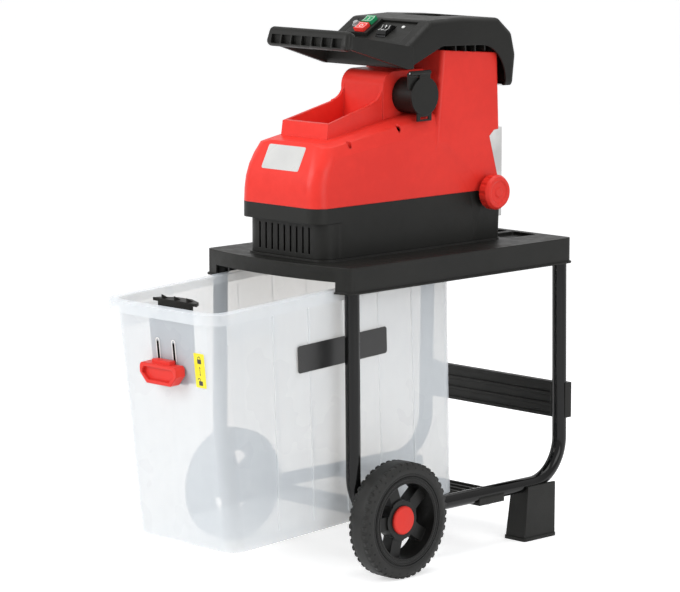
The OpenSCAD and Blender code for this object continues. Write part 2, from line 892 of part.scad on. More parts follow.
// Front body: a stack of round-cornered outlines that lean back and draw in at the shoulders
lean_steps = [0, 12, 24, 36];
function side_half(z) = z < shoulder_z
    ? body_half - 5 * (z - parting_z) / (shoulder_z - parting_z)
    : body_half - 5 - shoulder_r + sqrt(max(pow(shoulder_r, 2) - pow(z - shoulder_z, 2), 0));

module body_level(front, half, z_front, z_rear, g) {
    r = corner_r - g;
    for (x = [-1, 1]) {
        translate([x * (half - g - r), g + r - front, z_front]) cylinder(r = r, h = level_t, $fn = 32);
        translate([x * (half - g - 6), 160 - g - 6, z_rear]) cylinder(r = 6, h = level_t, $fn = 16);
    }
}

module front_body(g) {
    top = shoulder_z + shoulder_r;
    rise = deck_rise / (top - parting_z);
    hull() {
        body_level(body_front, body_half, parting_z, parting_z, g);
        for (a = lean_steps) {
            z = lean_z + front_lean_r * sin(a);
            front = body_front - front_lean_r * (1 - cos(a));
            low = z - g * sin(a);
            body_level(front, side_half(z), low, low + rise * (z - parting_z), g);
        }
        for (drop = [5, 0]) {
            z = top - drop;
            body_level(body_front - edge_back + 0.7 * drop, side_half(z), z - g,
                z - g + rise * (z - parting_z), g);
        }
    }
}

// Side view of the neck
module neck_profile(g) {
    back = tower_front + 10;
    translate([g - neck_front + neck_r, table_h + 150])
        square([back + neck_front - neck_r - g, neck_z - table_h - 150 - g]);
    translate([g - neck_front, table_h + 150]) square([neck_r, neck_z - neck_r - table_h - 150]);
    translate([neck_r - neck_front, neck_z - neck_r]) circle(neck_r - g);
}

// Block of the pocket, wider at the front, drawn in by g
module pocket_block(g) {
    front_half = pocket_half + pocket_flare - g;
    rear_half = pocket_half - 2 - g;
    translate([0, 0, table_h + 150]) linear_extrude(neck_z - table_h - 150) polygon([
        [-front_half, -pocket_front - 20], [front_half, -pocket_front - 20],
        [rear_half, 3 - neck_front], [-rear_half, 3 - neck_front]
    ]);
}

// Side view of the pocket: its rim rises to the neck
module pocket_profile() {
    fillet = 30;
    rise = 32;
    front = -pocket_front - pocket_lean * (rim_z - table_h - 150);
    difference() {
        polygon([
            [front, table_h + 150], [-pocket_front, rim_z],
            [-neck_front - fillet + 4, rim_z + rise - 6],
            [-neck_front, rim_z + rise + fillet], [-neck_front + 1, table_h + 150]
        ]);
        translate([1.5 - neck_front - fillet, rim_z + rise - 4 + fillet]) circle(fillet);
    }
}

// The pocket's room in side view, behind a front wall, above a floor and in front of the neck by a gap
module pocket_room(floor_z, front_wall, gap) {
    front = front_wall - pocket_front;
    across_x(pocket_half + 30) polygon([
        [front, floor_z], [front, neck_z], [-neck_front - gap, neck_z], [-neck_front - gap, neck_z - neck_r],
        [-neck_front - gap - 4, floor_z]
    ]);
}

module cover_solid() {
    front_body(0);
    proud_part(0);
    across_x(pocket_half) neck_profile(0);
    intersection() {
        across_x(pocket_half + 30) pocket_profile();
        pocket_block(0);
    }
}

module cover_cavity() {
    front_body(wall);
    proud_part(wall);
    across_x(pocket_half - wall) neck_profile(wall);
    translate([0, 0, -10]) linear_extrude(parting_z + 10.1)
        base_plan(body_half - wall, body_front - wall, corner_r - wall, body_rear - wall);
}

module pocket_cavity() {
    intersection() {
        pocket_room(pocket_floor_z, pocket_wall, -0.4);
        pocket_block(pocket_wall);
    }
}

// Room that the inside leaves for the pocket's walls and floor
module pocket_liner() {
    intersection() {
        pocket_room(pocket_floor_z - wall, 2, -2.5);
        pocket_block(1);
    }
}

module tower_top_cut(raise) {
    translate([-200, tower_front, tower_top_z + raise]) rotate([-tower_slope, 0, 0])
        translate([0, -300, 0]) cube([400, 800, 200]);
}

// Opening in the rear for the cutter housing's flange, with the slanted notch in the sides
module rear_opening(g) {
    translate([-flange_half - g, flange_front - g, flange_z[0] - g])
        cube([2 * (flange_half + g), 60, flange_z[1] - flange_z[0] + 2 * g]);
    across_x(tower_half + 20) polygon([
        [143, flange_z[1] - 13], [155, flange_z[1] - 3], [body_rear + 9, flange_z[1] - 1],
        [body_rear + 9, parting_z + 22], [161, parting_z + 22]
    ]);
}

module screw_posts(d) {
    for (x = [-1, 1], y = screw_post_y) {
        translate([x * screw_post_x, y, base_z]) cylinder(d = d, h = 200);
    }
}

module above(z) {
    translate([-250, -400, z]) cube([500, 800, 600]);
}

module upper_cover() {
    color(red) difference() {
        union() {
            difference() {
                intersection() {
                    cover_solid();
                    above(parting_z);
                }
                difference() {
                    cover_cavity();
                    pocket_liner();
                }
                pocket_cavity();
            }
            intersection() {
                screw_posts(post_d);
                front_body(0);
                above(parting_z);
            }
        }
        tower_top_cut(0);
        rear_opening(slide_gap);
        screw_posts(screw_d + 2 * seat_gap);
        for (x = [-1, 1], y = screw_post_y) {
            translate([x * screw_post_x, y, screw_seat_z]) cylinder(d = screw_head_d - 1, h = 100);
        }
        translate([0, inlet_y, inlet_z]) x_rod(inlet_d / 2 + seat_gap, 80);
        translate([0, adjuster_y, adjuster_z]) x_rod(bush_r + seat_gap, 200);
    }
}

bush_r = 14;

module base_solid() {
    translate([0, 0, base_z]) linear_extrude(lip_z - base_z)
        base_plan(base_half, base_front, corner_r, body_rear);
    translate([0, 0, base_z]) linear_extrude(parting_z - base_z)
        translate([0, (body_rear - base_front + 16) / 2])
            rounded(2 * body_half, body_rear + base_front - 16, 26);
    translate([0, 0, lip_z]) linear_extrude(parting_z - lip_z)
        base_plan(body_half, body_front, corner_r, body_rear);
    intersection() {
        proud_part(0);
        translate([-250, -400, base_z]) cube([500, 800, parting_z - base_z]);
    }
}

module base_cavity() {
    translate([0, 0, base_z + wall]) linear_extrude(parting_z)
        base_plan(base_half - wall, base_front - wall, corner_r - wall, body_rear - wall);
    translate([0, 0, lip_z + wall]) linear_extrude(parting_z)
        base_plan(body_half - wall, body_front - wall, corner_r - wall, body_rear - wall);
    proud_part(wall);
}

// Cradles under the motor, cut to its round body
module motor_cradles() {
    for (y = [motor_front + 25, motor_rear - 35]) {
        translate([-48, y, base_z + wall - eps]) cube([96, 5, motor_axis[1] - base_z - wall - 32]);
    }
}

module base_housing() {
    vent_pitch = 2 * (base_half - corner_r - 8) / (vents - 1);
    color(black) difference() {
        union() {
            difference() {
                base_solid();
                base_cavity();
            }
            motor_cradles();
            intersection() {
                screw_posts(post_d);
                base_solid();
            }
        }
        for (i = [0:vents - 1]) {
            translate([(i - (vents - 1) / 2) * vent_pitch - vent_w / 2, -base_front - 5, base_z + 8])
                cube([vent_w, 5 + 2 * wall, lip_z - base_z - 16]);
        }
        translate([motor_axis[0], motor_front - 1, motor_axis[1]]) y_rod(motor_d / 2 + seat_gap, 150);
        translate([0, 0, base_z - 1]) linear_extrude(wall + 2) discharge_plan(0);
        rear_opening(slide_gap);
        screw_posts(screw_d + 2 * run_gap);
        translate([0, adjuster_y, adjuster_z]) x_rod(bush_r + seat_gap, 200);
    }
}

module cover_screws() {
    color(steel) for (x = [-1, 1], y = screw_post_y) {
        translate([x * screw_post_x, y, screw_seat_z]) mirror([0, 0, 1]) {
            translate([0, 0, -screw_head_h]) cylinder(d = screw_head_d - 2, h = screw_head_h);
            cylinder(d = screw_d, h = 70);
        }
    }
}

module base_screws() {
    color(steel) for (x = [-1, 1], y = screw_post_y) {
        translate([x * screw_post_x, y, table_h - table_t]) screw(24);
    }
}

// Hood

// Corner balls of the hood's outline: place along Y, height below the top, distance inside the side
function hood_corners() = [
    [189, 114], [197, 71], [190, 38], [165, 17], [80, 12],
    [3, 14], [hood_front_y + hood_r, 50], [hood_front_y + hood_r - 2, 72]
];

module hood_form(g) {
    hull() for (c = hood_corners(), x = [-1, 1]) {
        translate([x * (hood_half - hood_r - (114 - c[1]) * hood_draft), c[0], hood_z - c[1]])
            sphere(r = hood_r - g, $fn = 16);
    }
}

// What the hood leaves open below: the slanted front, the flat middle and the round arch at the rear
module hood_underside() {
    across_x(hood_half + 20) {
        polygon([
            [-300, hood_z - 400], [-300, hood_low_z], [hood_front_y, hood_low_z],
            [24, arch_z + 3], [arch_y, arch_z], [arch_y, hood_z - 400]
        ]);
        translate([arch_y, arch_z - arch_r]) circle(arch_r, $fn = 96);
        translate([arch_y - 1, hood_z - 400]) square([arch_r + 1, 400 - (hood_z - arch_z) - arch_r]);
        translate([arch_y, hood_z - 400]) square([200, 400 - (hood_z - hood_rear_low_z)]);
    }
}

module handle_loop() {
    bar_z = handle_z;
    difference() {
        hull() for (x = [-1, 1]) {
            translate([x * (handle_half - 8), handle_y + 9, bar_z + 9]) sphere(r = 9, $fn = 16);
            translate([x * (handle_half - 10), handle_y + 13, bar_z + handle_h - 9]) sphere(r = 9, $fn = 16);
            translate([x * (handle_half - 8), handle_y + handle_d - 5, bar_z + 9])
                sphere(r = 5, $fn = 12 + 4);
            translate([x * (handle_half - 8), handle_y + handle_d - 5, bar_z + handle_h - 9])
                sphere(r = 5, $fn = 16);
        }
        cell_pitch = 2 * (handle_half - 12) / handle_cells;
        for (i = [0:handle_cells - 1]) {
            translate([-handle_half + 12 + i * cell_pitch + 1.5, handle_y - 2, bar_z + 6])
                cube([cell_pitch - 3, 10, 15]);
        }
    }
    both_sides() hull() {
        translate([handle_half - arm_t, handle_y + 14, bar_z + 3])
            cube([arm_t - 2, handle_d - 16, handle_h - 12]);
        translate([hood_half - arm_t - 2, hood_front_y + 2, hood_low_z]) cube([arm_t, 14, 36]);
    }
}

module panel_place() {
    translate([0, panel_y, panel_mid_z]) rotate([panel_slope, 0, 0]) children();
}

module hood() {
    color(black) difference() {
        union() {
            difference() {
                union() {
                    difference() {
                        hood_form(0);
                        hood_underside();
                    }
                    handle_loop();
                }
                difference() {
                    hood_form(hood_wall);
                    panel_place() translate([-200, -100, -panel_t - 3]) cube([400, 200, 100]);
                }
            }
            hood_ribs();
        }
        panel_place() translate([0, 0, -panel_t]) linear_extrude(40)
            rounded(2 * panel_half + 2 * seat_gap, panel_l + 2 * seat_gap, 4);
        panel_place() translate([switch_x - switch_half[0] - 1, switch_y - switch_half[1] - 1, -40])
            cube([2 * switch_half[0] + 2, 2 * switch_half[1] + 2, 60]);
        panel_place() translate([rocker_x - 16, -19, -40]) cube([32, 38, 60]);
        translate([-feed_half, feed_front, hood_z - 60]) cube([2 * feed_half, feed_rear - feed_front, 100]);
    }
}

// Ribs inside the hood, standing on the tower's top edge
module hood_ribs() {
    difference() {
        intersection() {
            both_sides() for (y = [56, 80, 104, 128, 150]) {
                translate([tower_top_half - 20, y, tower_rear_z - 30]) cube([40, 3, 120]);
            }
            hood_form(hood_wall - 1);
        }
        difference() {
            translate([-300, -300, 0]) cube([600, 600, hood_z]);
            tower_top_cut(0);
        }
        across_x(tower_half + 30)
        polygon([[0, 0], [0, arch_z - 10], [arch_y + 80, arch_z - 10], [arch_y + 80, 0]]);
    }
}

module feed_chute() {
    low = flange_z[1];
    color(black) difference() {
        union() {
            translate([-feed_half - chute_wall, feed_front - chute_wall, low])
                cube([
                    2 * (feed_half + chute_wall), feed_rear - feed_front + 2 * chute_wall,
                    hood_z - 8 - low
                ]);
            translate([-feed_half - 10, feed_front - 10, low])
                cube([2 * (feed_half + 10), feed_rear - feed_front + 20, 4]);
        }
        translate([-feed_half, feed_front, low - 1]) cube([2 * feed_half, feed_rear - feed_front, 300]);
        difference() {
            translate([-300, -300, hood_z - 30]) cube([600, 600, 100]);
            hood_form(hood_wall);
        }
    }
}

// Controls, drawn on the panel's plane

switch_x = -38;
switch_y = 6;
switch_half = [25, 22.5];
rocker_x = 17;
rocker_pivot = -6;
rocker_pin_d = 5;
button_size = [22, 18];
button_pitch = 21;
reset_d = 9;

module control_panel() {
    cheek = 3;
    color(black) panel_place() translate([0, 0, -panel_t]) difference() {
        union() {
            linear_extrude(panel_t - 0.5) rounded(2 * panel_half, panel_l, 4);
            translate([rocker_x - 12 - cheek, -8, -10]) cube([24 + 2 * cheek, 16, 11]);
        }
        translate([switch_x - switch_half[0] - seat_gap, switch_y - switch_half[1] - seat_gap, -1])
            cube([2 * (switch_half[0] + seat_gap), 2 * (switch_half[1] + seat_gap), 10]);
        translate([rocker_x - 12, -17, -20]) cube([24, 34, 30]);
    }
    color(black) panel_place() translate([rocker_x - 13, 0, rocker_pivot]) x_rod(rocker_pin_d / 2, 26);
}

// Switch body with a raised frame around its two caps and a round hole for the reset pin
module switch_box() {
    color(black) panel_place() difference() {
        translate([switch_x - switch_half[0], switch_y - switch_half[1], -28])
            cube([2 * switch_half[0], 2 * switch_half[1], 34]);
        for (s = [-1, 1]) {
            button_hole(switch_y + s * button_pitch / 2);
        }
        translate([reset_x, switch_y, -20]) cylinder(d = reset_d + 2 * slide_gap, h = 60);
    }
}

reset_x = switch_x - switch_half[0] + 8;
button_x = switch_x + 6;

module button_hole(y) {
    translate([button_x - button_size[0] / 2 - slide_gap, y - button_size[1] / 2 - slide_gap, -10])
        cube([button_size[0] + 2 * slide_gap, button_size[1] + 2 * slide_gap, 60]);
}

module push_cap(s, tint) {
    color(tint) panel_place() translate([button_x, switch_y + s * button_pitch / 2, 10]) {
        difference() {
            translate([-button_size[0] / 2, -button_size[1] / 2, -20 + button_travel + slide_gap])
                cube([button_size[0], button_size[1], 20 - slide_gap]);
            translate([0, 0, button_travel + 30]) rotate([0, 90, 0])
                cylinder(r = 31.2, h = 60, center = true, $fn = 96);
        }
    }
}

module reset_button() {
    color([0.75, 0.75, 0.75]) panel_place() translate([reset_x, switch_y, -20 + button_travel + slide_gap])
        cylinder(d = reset_d, h = 29 - slide_gap);
}

// Rocker on its own pivot, rounded about the pivot so that it swings free
module direction_rocker() {
    color(black) panel_place() translate([rocker_x, 0, rocker_pivot]) intersection() {
        difference() {
            translate([-11, 0, 0]) x_rod(16, 22);
            translate([-12, 0, 0]) x_rod(rocker_pin_d / 2 + run_gap, 24);
            for (s = [-1, 1]) {
                rotate([s * 2 * rocker_swing, 0, 0]) translate([-20, s > 0 ? 0 : -40, 11]) cube([40, 40, 20]);
            }
        }
        translate([-11, -16, -8]) cube([22, 32, 40]);
    }
}

// Mains inlet

module inlet_shroud() {
    color(black) translate([0, inlet_y, inlet_z]) difference() {
        union() {
            translate([inlet_back, 0, 0]) x_rod(inlet_d / 2, inlet_mouth - inlet_back);
            translate([inlet_back, 0, 0]) x_rod(inlet_d / 2 + 5, 8 - seat_gap);
            translate([lid_hinge_x - 7, -lug_w - lid_tab - 0.5, 12])
                cube([7, lug_w, lid_hinge_z - inlet_z - 12]);
            translate([lid_hinge_x, -lug_w - lid_tab - 0.5, lid_hinge_z - inlet_z])
                y_rod(knuckle_d / 2, lug_w);
        }
        translate([inlet_back - 1, 0, 0]) x_rod(inlet_d / 2 - inlet_wall, 100);
        translate([lid_hinge_x, -100, lid_hinge_z - inlet_z]) y_rod(lid_pin_d / 2 + run_gap, 200);
        translate([inlet_mouth, -inlet_d, -inlet_d]) cube([30, 2 * inlet_d, inlet_d + lid_d / 2]);
    }
}

// Disc at the shroud's inner end that holds the contacts
module inlet_insert() {
    color(black) translate([inlet_back, inlet_y, inlet_z]) difference() {
        x_rod(inlet_d / 2 - inlet_wall - run_gap, 6);
        contact_places() translate([-1, 0, 0]) x_rod(contact_d / 2 + run_gap, 8);
    }
}

module contact_places() {
    for (a = [90, 210, 330]) {
        translate([0, 12 * cos(a), 12 * sin(a)]) children();
    }
}

module inlet_contacts() {
    color([0.8, 0.65, 0.3]) translate([inlet_back - 4, inlet_y, inlet_z]) contact_places()
        x_rod(contact_d / 2, 34);
}

module inlet_lid() {
    gap = slide_gap;
    color(black) translate([inlet_mouth + gap, inlet_y, inlet_z]) difference() {
        union() {
            x_rod(lid_d / 2, lid_t);
            translate([0, -lid_tab, 0]) cube([lid_t, 2 * lid_tab, lid_hinge_z - inlet_z]);
            translate([lid_hinge_x - inlet_mouth - gap, -lid_tab, lid_hinge_z - inlet_z])
                y_rod(knuckle_d / 2, 2 * lid_tab);
            translate([0, -17, -lid_d / 2 - 9.5]) cube([lid_t - 1, 34, 18]);
        }
        translate([lid_hinge_x - inlet_mouth - gap, -100, lid_hinge_z - inlet_z])
            y_rod(lid_pin_d / 2 + run_gap, 200);
        translate([-1, -10, -lid_d / 2 - 6.5]) cube([lid_t + 2, 20, 4.5]);
    }
}

module lid_pin() {
    color(steel) translate([lid_hinge_x, inlet_y - lug_w - lid_tab - 1.5, lid_hinge_z])
        y_rod(lid_pin_d / 2, lug_w + 2 * lid_tab + 2);
}

// Motor and gears

module on_axis(axis, y) {
    translate([axis[0], y, axis[1]]) children();
}

module motor_can() {
    color(steel) on_axis(motor_axis, 0) difference() {
        translate([0, motor_front + shield_t, 0]) y_rod(motor_d / 2, motor_rear - motor_front - shield_t);
        translate([0, motor_front, 0]) y_rod(motor_d / 2 - 4, motor_rear - motor_front - shield_t);
        translate([0, motor_front, 0]) y_rod(motor_bearing_r + seat_gap, motor_rear - motor_front - 1);
        y_rod_clear();
    }
}

// Hole for the motor's shaft
module y_rod_clear() {
    translate([0, motor_rear - 20, 0]) y_rod(motor_shaft_r + 2, 60);
}

module motor_end_shield() {
    color(alloy) on_axis(motor_axis, motor_front) difference() {
        union() {
            y_rod(motor_d / 2, shield_t);
            translate([0, shield_t - eps, 0]) y_rod(motor_d / 2 - 4 - seat_gap, 4);
        }
        translate([0, 1, 0]) y_rod(motor_bearing_r + seat_gap, 20);
        for (a = [0:60:300]) {
            translate([36 * cos(a), -1, 36 * sin(a)]) y_rod(9, 30);
        }
    }
}

module stator() {
    core = [motor_front + 30, motor_rear - 40];
    color([0.75, 0.45, 0.2]) on_axis(motor_axis, core[0]) difference() {
        union() {
            y_rod(motor_d / 2 - 4 - seat_gap, core[1] - core[0]);
            translate([0, -10, 0]) y_rod(46, core[1] - core[0] + 20);
        }
        translate([0, -20, 0]) y_rod(rotor_r + 0.8, 200);
        translate([0, -20, 0]) y_rod(38, 20 - eps);
        translate([0, core[1] - core[0] + eps, 0]) y_rod(38, 20);
    }
}

module rotor() {
    core = [motor_front + 30, motor_rear - 40];
    start = motor_front + 2;
    color(steel) on_axis(motor_axis, 0) {
        translate([0, start, 0]) y_rod(motor_shaft_r, stage_1_y - start + 1);
        translate([0, core[0], 0]) y_rod(rotor_r, core[1] - core[0]);
        translate([0, stage_1_y, 0]) spur_gear(pinion_teeth, stage_1_w, gear_dir(motor_axis, idler_axis), 0);
    }
}

module rotor_fan() {
    y = motor_rear - 36;
    color(black) on_axis(motor_axis, y) difference() {
        union() {
            y_rod(14, 16);
            y_rod(34, 2.5);
            for (i = [0:6]) {
                rotate([0, i * 360 / 7, 0]) translate([10, 1, -1.2]) cube([25, 14, 2.4]);
            }
        }
        translate([0, -1, 0]) y_rod(motor_shaft_r + run_gap / 2, 40);
    }
}

module bearing(r_out, r_in, w) {
    difference() {
        y_rod(r_out, w);
        translate([0, -1, 0]) y_rod(r_in, w + 2);
    }
}

module motor_bearings() {
    color(steel) for (y = [motor_front + 1 + seat_gap, motor_rear - 1 - motor_bearing_w - seat_gap]) {
        on_axis(motor_axis, y) bearing(motor_bearing_r, motor_shaft_r + run_gap, motor_bearing_w);
    }
}

// Direction from one axis to the other, as an angle in X and Z
function gear_dir(from, to) = atan2(to[1] - from[1], to[0] - from[0]);

// Involute of a base circle: the point reached at radius r, as an angle from its start
function involute_angle(base, r) = let (t = sqrt(max(pow(r / base, 2) - 1, 0))) t * 180 / PI - atan(t);

function polar(r, a) = [r * cos(a), r * sin(a)];

// Points of one tooth, centred on angle a
function tooth(teeth, a) =
    let (
        pitch = gear_m * teeth / 2,
        base = pitch * cos(pressure_angle),
        tip = pitch + gear_m * 0.95,
        root = pitch - gear_m * 1.2,
        half = 90 / teeth - backlash / pitch * 180 / PI / 2 + involute_angle(base, pitch),
        start = max(base, root + 0.05),
        radii = [for (i = [0:3]) start + (tip - start) * i / 3]
    )
    concat(
        [polar(root, a - half + involute_angle(base, start))],
        [for (r = radii) polar(r, a - half + involute_angle(base, r))],
        [for (i = [3:-1:0]) polar(radii[i], a + half - involute_angle(base, radii[i]))],
        [polar(root, a + half - involute_angle(base, start))]
    );

// Spur gear along Y from a point, with tooth number "shift" turned to the given direction
module spur_gear(teeth, w, dir, shift) {
    rotate([90, 0, 0]) translate([0, 0, -w]) linear_extrude(w)
        polygon([for (i = [0:teeth - 1]) each tooth(teeth, dir + (i + shift) * 360 / teeth)]);
}

module gearbox_case() {
    boss = 14;
    color(alloy) difference() {
        translate([-case_half, case_front, case_z[0]])
            cube([2 * case_half, cutter_front - case_front, case_z[1] - case_z[0]]);
        translate([case_wall - case_half, case_front + case_wall + boss, case_z[0] + case_wall])
            cube([2 * (case_half - case_wall), 300, case_z[1] - case_z[0] - 2 * case_wall]);
        on_axis(motor_axis, case_front + case_wall) y_rod(motor_bearing_r, 60);
        on_axis(motor_axis, case_front - 1) y_rod(motor_shaft_r + 2, 100);
        on_axis(idler_axis, case_front + 6) y_rod(idler_shaft_r + seat_gap, 100);
        translate([case_half, -400, case_z[1]]) rotate([0, 45, 0]) cube([30, 800, 30], center = true);
        translate([-case_half, -400, case_z[1]]) rotate([0, 45, 0]) cube([30, 800, 30], center = true);
    }
}

module idler_shaft() {
    color(steel) on_axis(idler_axis, case_front + 6 + seat_gap)
        y_rod(idler_shaft_r, cutter_front - case_front - 2);
}

// Intermediate gear and its small pinion, in one piece, turning on the fixed shaft
module idler_gear() {
    color(steel) on_axis(idler_axis, 0) difference() {
        union() {
            translate([0, stage_1_y + slide_gap, 0])
                spur_gear(idler_teeth, stage_1_w - 2 * slide_gap, gear_dir(idler_axis, motor_axis), 0.5);
            translate([0, stage_1_y + stage_1_w - 2, 0])
                spur_gear(pinion_teeth, stage_2_y + stage_2_w - stage_1_y - stage_1_w + 4,
                    gear_dir(idler_axis, drum_axis), 0);
        }
        translate([0, -200, 0]) y_rod(idler_shaft_r + run_gap, 400);
    }
}

module drum_gear() {
    color(steel) on_axis(drum_axis, stage_2_y + 2) difference() {
        spur_gear(drum_teeth, stage_2_w - 4, gear_dir(drum_axis, idler_axis), 0.5);
        translate([0, -50, 0]) y_rod(drum_shaft_d / 2 + run_gap / 2, 100);
        for (a = [30:60:330]) {
            translate([27 * cos(a), -50, 27 * sin(a)]) y_rod(8, 100);
        }
    }
}

module drum_shaft() {
    color(steel) on_axis(drum_axis, stage_2_y - 8)
        y_rod(drum_shaft_d / 2, chamber_rear + drum_bearing_w - stage_2_y + 8);
}

// Drum with saw-shaped cutting edges along its length
module cutter_drum() {
    root = drum_d / 2 - 9;
    step = 360 / drum_blades;
    color(steel) on_axis(drum_axis, chamber_front + 2) difference() {
        rotate([90, 0, 0]) translate([0, 0, -drum_l]) linear_extrude(drum_l) polygon([
            for (i = [0:drum_blades - 1]) each [
                polar(root, i * step), polar(root + 2, (i + 0.35) * step), polar(root + 4, (i + 0.6) * step),
                polar(drum_d / 2, (i + 0.86) * step), polar(drum_d / 2, (i + 0.94) * step)
            ]
        ]);
        translate([0, -1, 0]) y_rod(drum_shaft_d / 2 + run_gap / 2, drum_l + 2);
        for (k = [1:3]) {
            translate([0, k * drum_l / 4 - 2, 0]) difference() {
                y_rod(drum_d, 4);
                translate([0, -1, 0]) y_rod(root + 3, 6);
            }
        }
    }
}

module drum_bearings() {
    color(steel) for (y = [cutter_front + 1, chamber_rear + 1]) {
        on_axis(drum_axis, y) bearing(drum_bearing_r, drum_shaft_d / 2 + run_gap, drum_bearing_w);
    }
}

// Cast housing round the drum: throat above, discharge below, rear flange closing the machine's back
module cutter_housing() {
    low = base_z + wall;
    color(alloy) difference() {
        union() {
            translate([-cutter_half, cutter_front, low])
                cube([2 * cutter_half, body_rear - wall - slide_gap - cutter_front, flange_z[1] - low]);
            translate([-flange_half, flange_front, flange_z[0]])
                cube([2 * flange_half, cutter_rear - flange_front, flange_z[1] - flange_z[0]]);
        }
        on_axis(drum_axis, chamber_front) y_rod(drum_d / 2 + 3, chamber_rear - chamber_front);
        translate([-feed_half, chamber_front, drum_axis[1]])
            cube([2 * feed_half, chamber_rear - chamber_front, 200]);
        translate([-feed_half - 8, chamber_front, low - 1])
            cube([feed_half + 8 + plate_face, chamber_rear - chamber_front, drum_axis[1] - low]);
        translate([plate_face - 10, chamber_front, adjuster_z - plate_h / 2 - slide_gap])
            cube([plate_thick + 34, chamber_rear - chamber_front, plate_h + 2 * slide_gap]);
        translate([0, adjuster_y, adjuster_z]) x_rod(adjuster_screw_d / 2 + 2, 200);
        on_axis(drum_axis, cutter_front - 1) y_rod(drum_bearing_r + seat_gap, drum_bearing_w + 2 + seat_gap);
        on_axis(drum_axis, cutter_front - 1) y_rod(drum_shaft_d / 2 + 2, 40);
        on_axis(drum_axis, chamber_rear - 1) y_rod(drum_bearing_r + seat_gap, drum_bearing_w + 2 + seat_gap);
        on_axis(idler_axis, cutter_front - 1) y_rod(idler_shaft_r + seat_gap, 8);
        for (x = [-1, 1], z = [18, 60, flange_z[1] - flange_z[0] - 18]) {
            translate([x * (flange_half - 14), cutter_rear - 8, flange_z[0] + z]) y_rod(3, 20);
        }
    }
}

// Counter plate that the drum cuts against, with the boss that takes the adjusting screw
module pressure_plate() {
    color(alloy) difference() {
        union() {
            translate([plate_face, chamber_front + slide_gap, adjuster_z - plate_h / 2])
                cube([plate_thick, chamber_rear - chamber_front - 2 * slide_gap, plate_h]);
            translate([plate_face + plate_thick - eps, adjuster_y, adjuster_z])
                x_rod(adjuster_screw_d / 2 + 5, 16);
        }
        translate([plate_face + 4, adjuster_y, adjuster_z]) x_rod(adjuster_screw_d / 2 + run_gap, 200);
        on_axis(drum_axis, 0) y_rod(drum_d / 2 + plate_travel + 1.5, 300);
    }
}

module adjuster_screw() {
    start = plate_face + 6 + plate_travel;
    color(steel) translate([start, adjuster_y, adjuster_z])
        x_rod(adjuster_screw_d / 2, adjuster_x + adjuster_l - 8 - start);
}

module adjuster_bush() {
    start = flange_half + slide_gap;
    color(black) translate([start, adjuster_y, adjuster_z]) difference() {
        union() {
            x_rod(bush_r, adjuster_x - slide_gap - start);
            x_rod(bush_r + 4, 4);
        }
        translate([-1, 0, 0]) x_rod(adjuster_screw_d / 2 + run_gap, 60);
    }
}

// Knob with finger flutes, a ring groove and a raised middle
module adjusting_knob() {
    flutes = 12;
    color(red) translate([adjuster_x, adjuster_y, adjuster_z]) rotate([0, 90, 0]) difference() {
        rotate_extrude($fn = 96) polygon([
            [0, 0], [adjuster_d / 2 - 2, 0], [adjuster_d / 2, 2], [adjuster_d / 2, adjuster_l - 6],
            [adjuster_d / 2 - 4, adjuster_l],
            [adjuster_d * 0.34, adjuster_l], [adjuster_d * 0.31, adjuster_l - 2.5],
            [adjuster_d * 0.15, adjuster_l - 2.5],
            [adjuster_d * 0.13, adjuster_l - 0.5], [0, adjuster_l - 0.5]
        ]);
        for (i = [0:flutes - 1]) {
            rotate(i * 360 / flutes) translate([adjuster_d / 2 + 2.4, 0, -1])
                cylinder(r = 4, h = adjuster_l - 6);
        }
        translate([0, 0, -1]) cylinder(r = adjuster_screw_d / 2 + run_gap / 2, h = adjuster_l - 7);
    }
}

module capacitor() {
    color([0.8, 0.8, 0.82])
    translate([body_half - wall - cap_r - 8, screw_post_y[0] + 9, base_z + wall + cap_r])
    y_rod(cap_r, 84);
}

// Switch under the table that the latch tongue closes
module interlock_switch() {
    color([0.2, 0.2, 0.22]) translate([-14, table_front + 20, table_h - table_t - 18]) cube([28, 18, 18]);
}

// Nodes

in_frame() stand_table();
in_frame() frame_tube(-1);  // left_frame_tube
in_frame() frame_tube(1);  // right_frame_tube
in_frame() rear_panel();
in_frame() brace(front_brace_y);  // front_brace
in_frame() brace(rear_brace_y);  // rear_brace
in_frame() foot(-1);  // left_foot
in_frame() foot(1);  // right_foot
in_frame() frame_screws();
in_frame() axle_bolts();
in_frame() axle_nuts();
in_frame() axle_washers();
in_frame() wheel_rim(-1);  // left_wheel_rim
in_frame() tyre(-1);  // left_tyre
in_frame() hub_cap(-1);  // left_hub_cap
in_frame() wheel_rim(1);  // right_wheel_rim
in_frame() tyre(1);  // right_tyre
in_frame() hub_cap(1);  // right_hub_cap
in_frame() bin_tub();
in_frame() latch_plate();
in_frame() latch_knob();
in_frame() base_housing();
in_frame() base_screws();
in_frame() upper_cover();
in_frame() cover_screws();
in_frame() hood();
in_frame() feed_chute();
in_frame() control_panel();
in_frame() switch_box();
in_frame() push_cap(1, [0.2, 0.55, 0.35]);  // start_button
in_frame() push_cap(-1, red);  // stop_button
in_frame() reset_button();
in_frame() direction_rocker();
in_frame() inlet_shroud();
in_frame() inlet_insert();
in_frame() inlet_contacts();
in_frame() inlet_lid();
in_frame() lid_pin();
in_frame() motor_can();
in_frame() motor_end_shield();
in_frame() stator();
in_frame() rotor();
in_frame() rotor_fan();
in_frame() motor_bearings();
in_frame() gearbox_case();
in_frame() idler_shaft();
in_frame() idler_gear();
in_frame() drum_gear();
in_frame() drum_shaft();
in_frame() cutter_drum();
in_frame() drum_bearings();
in_frame() cutter_housing();
in_frame() pressure_plate();
in_frame() adjuster_screw();
in_frame() adjuster_bush();
in_frame() adjusting_knob();
in_frame() capacitor();
in_frame() interlock_switch();
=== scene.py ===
"""Garden shredder on a wheeled stand: looks, light and camera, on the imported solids."""
import json
import math

